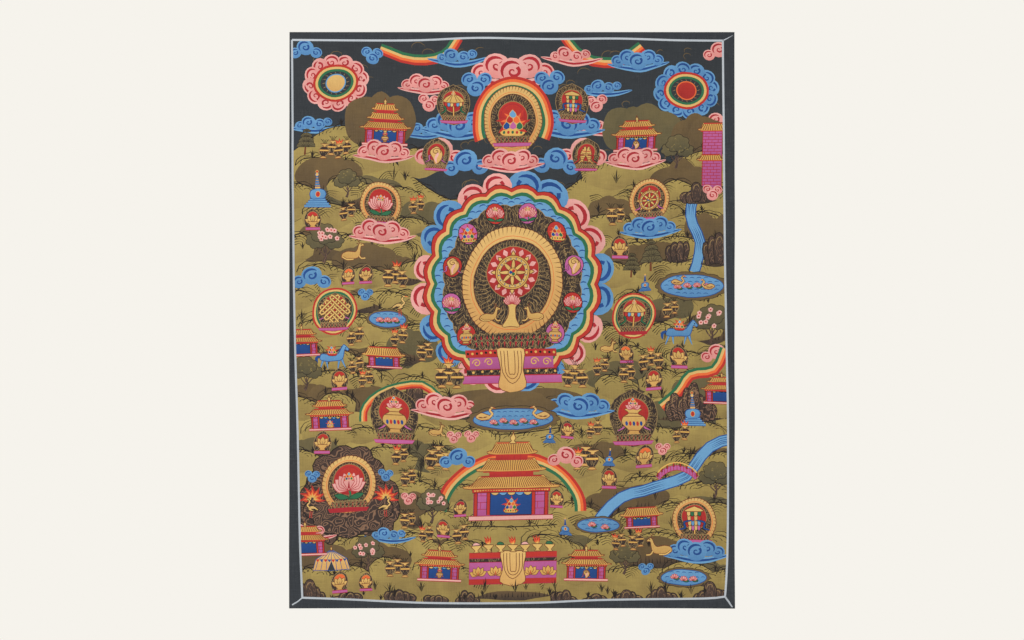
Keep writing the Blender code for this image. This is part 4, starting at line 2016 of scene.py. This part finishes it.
def distemper_group():
    """Thin matt paint on primed cotton, with shading, hair strokes, whorls, rubbed spots and the weave."""
    tree = bpy.data.node_groups.new("distemper_on_cotton", "ShaderNodeTree")
    group_sockets(tree)
    n = Nodes(tree)
    given = n.add("NodeGroupInput").outputs
    where = n.add("ShaderNodeTexCoord").outputs["Object"]
    tone = n.add("ShaderNodeAttribute", {"attribute_name": "tone"}).outputs["Fac"]
    wash = n.add("ShaderNodeAttribute", {"attribute_name": "wash"}).outputs["Fac"]
    mottle = n.noise(where, MOTTLE, 4.0)
    grain = n.noise(where, GRAIN, 2.0)
    slubs, weave = slubs_and_weave(n, where)

    shade = n.plus(wash, n.times(n.centred(mottle), given["Mottle"]))
    shade = n.plus(shade, n.times(n.centred(n.noise(where, PATCHES, 3.0)), given["Patches"]), clamp=True)
    colour = n.mix(shade, given["Paint"], given["Shading"])
    colour = n.mix(hair_strokes(n, where, mottle, wash, given), colour, given["Hair"])
    colour = n.mix(whorls(n, where, mottle, given), colour, given["Hair"])

    light = n.plus(n.times(tone, 0.08), n.times(slubs, given["Streak"]))
    light = n.plus(light, n.times(n.centred(n.noise(where, CLOUDING, 2.0)), 0.2))
    light = n.plus(n.plus(light, n.times(n.centred(grain), 0.26)), 1.0)
    colour = n.add("ShaderNodeVectorMath", {"operation": "SCALE"}, i0=colour, Scale=light).outputs[0]
    worn = n.plus(n.times(grain, 0.5), n.times(mottle, 0.5))
    worn = n.above(n.plus(worn, n.times(slubs, 0.4)), 0.56, 6.0)
    colour = n.mix(n.times(worn, given["Rub"]), colour, given["Rubbed"])

    matt = n.plus(given["Matt"], n.times(n.centred(mottle), 0.2))
    height = n.plus(n.plus(n.times(weave, 0.35), n.times(slubs, 0.9)), n.times(grain, 0.5))
    bump = n.add("ShaderNodeBump", Strength=0.35, Distance=RELIEF, Height=height)
    n.add("NodeGroupOutput", Colour=colour, Roughness=matt, Normal=bump.outputs[0])
    return tree


# How a paint lies, as shares: mottle, patches, streak, rub, hair strokes, their thinning, whorls, matt, metal
LAID = {
    "plain": (0.4, 0.3, 0.2, 0.14, 0.0, 0.0, 0.0, 0.82, 0.0),
    "lamp_black": (0.6, 0.5, 0.35, 0.3, 0.0, 0.0, 0.0, 0.8, 0.0),
    "margin_black": (0.8, 0.6, 0.5, 0.35, 0.0, 0.0, 0.0, 0.8, 0.0),
    "gilded_black": (0.5, 0.3, 0.2, 0.1, 0.8, 0.0, 0.0, 0.7, 0.0),
    "earth_black": (0.6, 0.6, 0.2, 0.1, 0.7, 0.0, 0.0, 0.75, 0.0),
    "whorled_rock": (0.6, 0.6, 0.2, 0.1, 0.0, 0.0, 0.85, 0.7, 0.0),
    "hatched_shade": (0.8, 0.6, 0.2, 0.1, 0.95, 1.2, 0.0, 0.75, 0.0),
    "old_gold": (0.6, 1.1, 0.3, 0.2, 0.0, 0.0, 0.0, 0.62, 0.12),
    "gold_shade": (0.8, 1.0, 0.3, 0.2, 0.4, 0.8, 0.0, 0.65, 0.12),
    "bush_green": (0.8, 1.0, 0.3, 0.2, 0.4, 0.8, 0.0, 0.7, 0.05),
    "gold_line": (0.3, 0.2, 0.1, 0.1, 0.0, 0.0, 0.0, 0.5, 0.25),
    "raw_cotton": (0.6, 0.6, 0.6, 0.3, 0.0, 0.0, 0.0, 0.9, 0.0),
}
SHARES = ("Mottle", "Patches", "Streak", "Rub", "Hairs", "Thinning", "Whorls", "Matt")
# The colour of the hair strokes or whorls on the paints that have them
HAIRS = {
    "gilded_black": srgb(158, 130, 86),
    "earth_black": srgb(128, 96, 74),
    "whorled_rock": srgb(138, 104, 80),
    "hatched_shade": srgb(48, 38, 34),
    "gold_shade": srgb(82, 68, 48),
    "bush_green": srgb(76, 70, 54),
}


RAW_COTTON = (srgb(206, 192, 162), srgb(176, 160, 130))
SPECULAR = 0.3


def paint_material(name, group, colours):
    material = bpy.data.materials.new(name)
    material.use_nodes = True
    tree = material.node_tree
    shader = tree.nodes["Principled BSDF"]
    *shares, metal = LAID.get(name, LAID["plain"])
    laid = Nodes(tree).add("ShaderNodeGroup", {"node_tree": group})
    laid.inputs["Paint"].default_value = rgba(colours[0])
    laid.inputs["Shading"].default_value = rgba(colours[1])
    laid.inputs["Rubbed"].default_value = rgba([0.6 * c + 0.06 for c in colours[0]])
    laid.inputs["Hair"].default_value = rgba(HAIRS.get(name, colours[1]))
    for socket, share in zip(SHARES, shares):
        laid.inputs[socket].default_value = share
    shader.inputs["Metallic"].default_value = metal
    shader.inputs["Specular IOR Level"].default_value = SPECULAR
    tree.links.new(laid.outputs["Colour"], shader.inputs["Base Color"])
    tree.links.new(laid.outputs["Roughness"], shader.inputs["Roughness"])
    tree.links.new(laid.outputs["Normal"], shader.inputs["Normal"])
    return material


def all_materials():
    group = distemper_group()
    made = {name: paint_material(name, group, colours) for name, colours in PAINTS.items()}
    made["raw_cotton"] = paint_material("raw_cotton", group, RAW_COTTON)
    return made


# Stage, lights and camera

FLOOR_COLOUR = (0.86, 0.835, 0.78, 1)
FLOOR_RADIUS = 3.2
FLOOR_BELOW = 0.55
SURROUND = srgb(246, 243, 236)
SURROUND_LIGHT = 0.62
LAMP_SIZE = 1.4
LAMP_WATTS = 42.0


def stage():
    bpy.ops.object.select_all(action="DESELECT")
    place = (0, 0, low.z - FLOOR_BELOW)
    bpy.ops.mesh.primitive_circle_add(vertices=96, radius=FLOOR_RADIUS, fill_type="NGON", location=place)
    floor = bpy.context.active_object
    floor.name = "floor"
    material = bpy.data.materials.new("pale_floor")
    material.use_nodes = True
    shader = material.node_tree.nodes["Principled BSDF"]
    shader.inputs["Base Color"].default_value = FLOOR_COLOUR
    shader.inputs["Roughness"].default_value = 0.9
    floor.data.materials.append(material)


def world():
    """A pale surround: the camera sees the photograph's off-white, and it lights a little less."""
    made = bpy.data.worlds.new("pale_surround")
    bpy.context.scene.world = made
    made.use_nodes = True
    tree = made.node_tree
    seen = tree.nodes["Background"]
    seen.inputs["Color"].default_value = rgba(SURROUND)
    seen.inputs["Strength"].default_value = 1.0
    lit = tree.nodes.new("ShaderNodeBackground")
    lit.inputs["Color"].default_value = (1, 1, 1, 1)
    lit.inputs["Strength"].default_value = SURROUND_LIGHT
    path = tree.nodes.new("ShaderNodeLightPath")
    mix = tree.nodes.new("ShaderNodeMixShader")
    tree.links.new(path.outputs["Is Camera Ray"], mix.inputs["Fac"])
    tree.links.new(lit.outputs[0], mix.inputs[1])
    tree.links.new(seen.outputs[0], mix.inputs[2])
    tree.links.new(mix.outputs[0], tree.nodes["World Output"].inputs["Surface"])


def lamp(name, place):
    """A soft square lamp that looks at the middle of the cloth."""
    bpy.ops.object.light_add(type="AREA", location=place)
    light = bpy.context.active_object
    light.name = name
    light.data.size = LAMP_SIZE
    light.data.energy = LAMP_WATTS
    middle = Vector((0, 0, high.z - HEIGHT / 2))
    light.rotation_euler = (middle - Vector(place)).to_track_quat("-Z", "Y").to_euler()


PHOTO_WIDE = 1024
CLOTH_WIDE = 445  # pixels of the photograph
LENS = 85.0
SENSOR = 36.0


def camera():
    """Square on to the painted face, as far off as makes the cloth as wide as in the photograph."""
    view_wide = WIDTH * PHOTO_WIDE / CLOTH_WIDE
    away = view_wide / 2 / (SENSOR / 2 / LENS)
    bpy.ops.object.camera_add(location=(0, -away, high.z - HEIGHT / 2), rotation=(math.radians(90), 0, 0))
    made = bpy.context.active_object
    made.data.lens = LENS
    made.data.sensor_width = SENSOR
    bpy.context.scene.camera = made


def main():
    scene = bpy.context.scene
    scene.view_settings.view_transform = "Standard"
    camera()
    world()
    lamp("key_lamp", (-1.5, -2.2, 0.9))
    lamp("back_lamp", (1.4, 2.4, 0.7))
    stage()
    cloth = whole_cloth(painting(), all_materials())
    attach(cloth, "root")
    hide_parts(CLOTH)


main()
